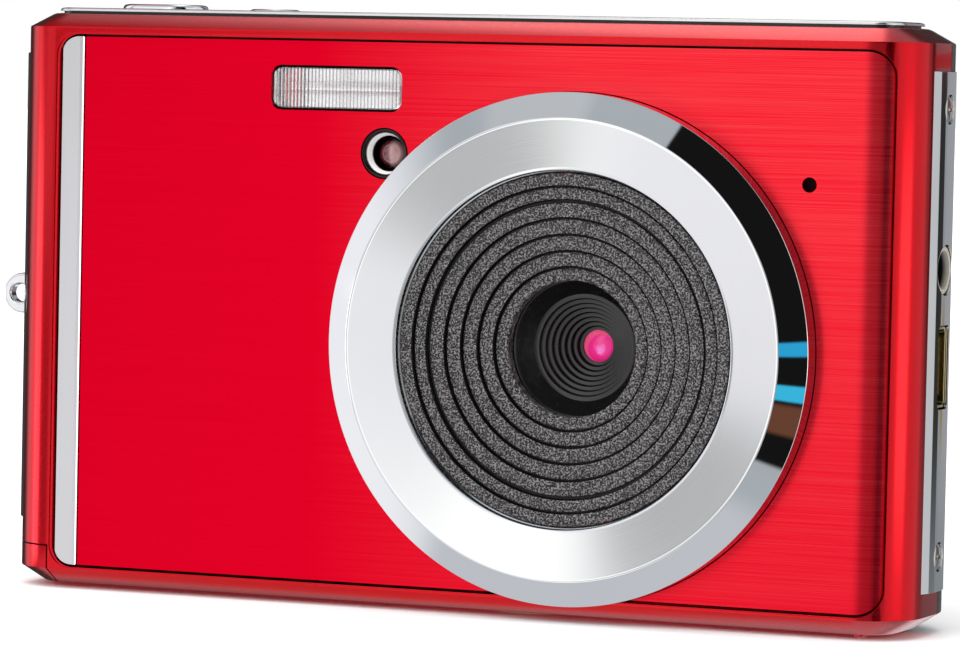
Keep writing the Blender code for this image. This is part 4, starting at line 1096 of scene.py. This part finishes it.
def studio_world():
    """Soft white room with darker openings; the camera itself sees a plain pale backdrop."""
    world = bpy.data.worlds.new("studio")
    bpy.context.scene.world = world
    world.use_nodes = True
    nodes, links = world.node_tree.nodes, world.node_tree.links
    nodes.clear()
    towards = nodes.new("ShaderNodeTexCoord").outputs["Generated"]
    apart = nodes.new("ShaderNodeSeparateXYZ")
    links.new(towards, apart.inputs[0])

    def calc(operation, *values):
        made = nodes.new("ShaderNodeMath")
        made.operation = operation
        for socket, value in zip(made.inputs, values):
            if isinstance(value, (int, float)):
                socket.default_value = value
            else:
                links.new(value, socket)
        return made.outputs[0]

    ahead = calc("MULTIPLY", apart.outputs[1], -1.0)
    azimuth = calc("MULTIPLY", calc("ARCTAN2", apart.outputs[0], ahead), 180 / math.pi)
    elevation = calc("MULTIPLY", calc("ARCSINE", apart.outputs[2]), 180 / math.pi)

    def step(value, low, high):
        ramp = nodes.new("ShaderNodeMapRange")
        ramp.interpolation_type = "SMOOTHSTEP"
        ramp.inputs["From Min"].default_value = low
        ramp.inputs["From Max"].default_value = high
        links.new(value, ramp.inputs["Value"])
        return ramp.outputs["Result"]

    def zone(limits, soft):
        left, right, low, high = limits
        edges = []
        if left > -180:
            edges.append(step(azimuth, left - soft, left + soft))
        if right < 180:
            edges.append(step(azimuth, right + soft, right - soft))
        if low > -90:
            edges.append(step(elevation, low - soft, low + soft))
        edges.append(step(elevation, high + soft, high - soft))
        total = edges[0]
        for edge in edges[1:]:
            total = calc("MULTIPLY", total, edge)
        return total

    def lobe(at_azimuth, at_elevation, inner, outer):
        aim = nodes.new("ShaderNodeVectorMath")
        aim.operation = "DOT_PRODUCT"
        aim.inputs[1].default_value = direction(at_azimuth, at_elevation)
        links.new(towards, aim.inputs[0])
        return step(aim.outputs["Value"], math.cos(math.radians(outer)), math.cos(math.radians(inner)))

    def mix(factor, first, colour):
        made = nodes.new("ShaderNodeMix")
        made.data_type = "RGBA"
        links.new(factor, made.inputs[0])
        if isinstance(first, tuple):
            made.inputs[6].default_value = (*first, 1.0)
        else:
            links.new(first, made.inputs[6])
        made.inputs[7].default_value = (*colour, 1.0)
        return made.outputs[2]

    colour = (0.46, 0.50, 0.53)
    for limits, soft, tint in ROOM:
        colour = mix(zone(limits, soft), colour, tint)
    for at_azimuth, at_elevation, inner, outer, level in SECTORS:
        colour = mix(lobe(at_azimuth, at_elevation, inner, outer), colour, (level,) * 3)
    for limits, soft, tint in DARK + TINTS:
        colour = mix(zone(limits, soft), colour, tint)
    light = nodes.new("ShaderNodeBackground")
    links.new(colour, light.inputs["Color"])
    plain = nodes.new("ShaderNodeBackground")
    plain.inputs["Color"].default_value = (1.0, 1.0, 1.0, 1.0)
    path = nodes.new("ShaderNodeLightPath")
    choose = nodes.new("ShaderNodeMixShader")
    links.new(path.outputs["Is Camera Ray"], choose.inputs[0])
    links.new(light.outputs[0], choose.inputs[1])
    links.new(plain.outputs[0], choose.inputs[2])
    out = nodes.new("ShaderNodeOutputWorld")
    links.new(choose.outputs[0], out.inputs["Surface"])


def soft_sun(name, azimuth, elevation, strength, spread):
    """Even, very soft light for the floor and the plastics; it leaves no glossy reflection."""
    data = bpy.data.lights.new(name, "SUN")
    data.energy = strength
    data.angle = math.radians(spread)
    lamp = bpy.data.objects.new(name, data)
    bpy.context.scene.collection.objects.link(lamp)
    lamp.rotation_euler = direction(azimuth, elevation).to_track_quat("Z", "Y").to_euler()
    lamp.visible_glossy = False


def studio():
    studio_world()
    soft_sun("key", -30, 60, 2.6, 70)
    soft_sun("fill", 40, 35, 0.8, 60)
    soft_sun("back", 165, 40, 1.1, 70)
    radius = 5.0
    steps = 96
    turns = [2 * math.pi * i / steps for i in range(steps)]
    rim = [(radius * math.cos(turn), radius * math.sin(turn), 0.0) for turn in turns]
    mesh = bpy.data.meshes.new("floor")
    mesh.from_pydata(rim, [], [tuple(range(steps))])
    floor = bpy.data.objects.new("floor", mesh)
    bpy.context.scene.collection.objects.link(floor)
    look = Look("pale_floor")
    look.set(Base_Color=look.blend(look.noise((8.0,) * 3), (0.90, 0.90, 0.90), (0.92, 0.92, 0.92)))
    look.set(Roughness=0.8, Specular_IOR_Level=0.1)
    under = look.node("ShaderNodeNewGeometry").outputs["Backfacing"]
    one_sided = look.node("ShaderNodeMixShader")
    look.links.new(under, one_sided.inputs[0])
    look.links.new(look.shader.outputs[0], one_sided.inputs[1])
    look.links.new(look.node("ShaderNodeBsdfTransparent").outputs[0], one_sided.inputs[2])
    look.links.new(one_sided.outputs[0], look.nodes["Material Output"].inputs["Surface"])
    mesh.materials.append(look.material)
    floor.visible_glossy = False


def camera():
    """Long lens, a little to the object's left-hand side and a little above, slightly rolled."""
    azimuth, elevation, roll = math.radians(22.579), math.radians(2.920), math.radians(1.243)
    distance, aside, raised = 484.75, -1.923, 0.755
    anchor = Vector((0.725, -8.8, 28.925)) * MM + SHIFT
    back = Vector((math.sin(azimuth) * math.cos(elevation), -math.cos(azimuth) * math.cos(elevation),
                   math.sin(elevation)))
    right = (-back).cross(Vector((0, 0, 1))).normalized()
    up = right.cross(-back)
    right_rolled = right * math.cos(roll) + up * math.sin(roll)
    up_rolled = up * math.cos(roll) - right * math.sin(roll)
    place_at = anchor + (back * distance - right_rolled * aside - up_rolled * raised) * MM
    data = bpy.data.cameras.new("camera")
    data.sensor_width = 36.0
    data.sensor_fit = "HORIZONTAL"
    data.lens = 187.5
    data.clip_start = 0.01
    made = bpy.data.objects.new("camera_view", data)
    bpy.context.scene.collection.objects.link(made)
    turn = Matrix((right_rolled, up_rolled, back)).transposed().to_4x4()
    made.matrix_world = Matrix.Translation(place_at) @ turn
    bpy.context.scene.camera = made


front_cover()
front_panel()
panel_gap_shade()
panel_strip()
lens_surround()
lens_disc()
lens_cone()
front_lens()
flash_unit()
timer_lamp()
side_trims()
trim_screws()
strap_lug()
sockets()
rear_cover()
top_cover()
top_buttons()
battery_door()
carried_nodes()
studio()
camera()
bpy.context.scene.view_settings.view_transform = "Standard"
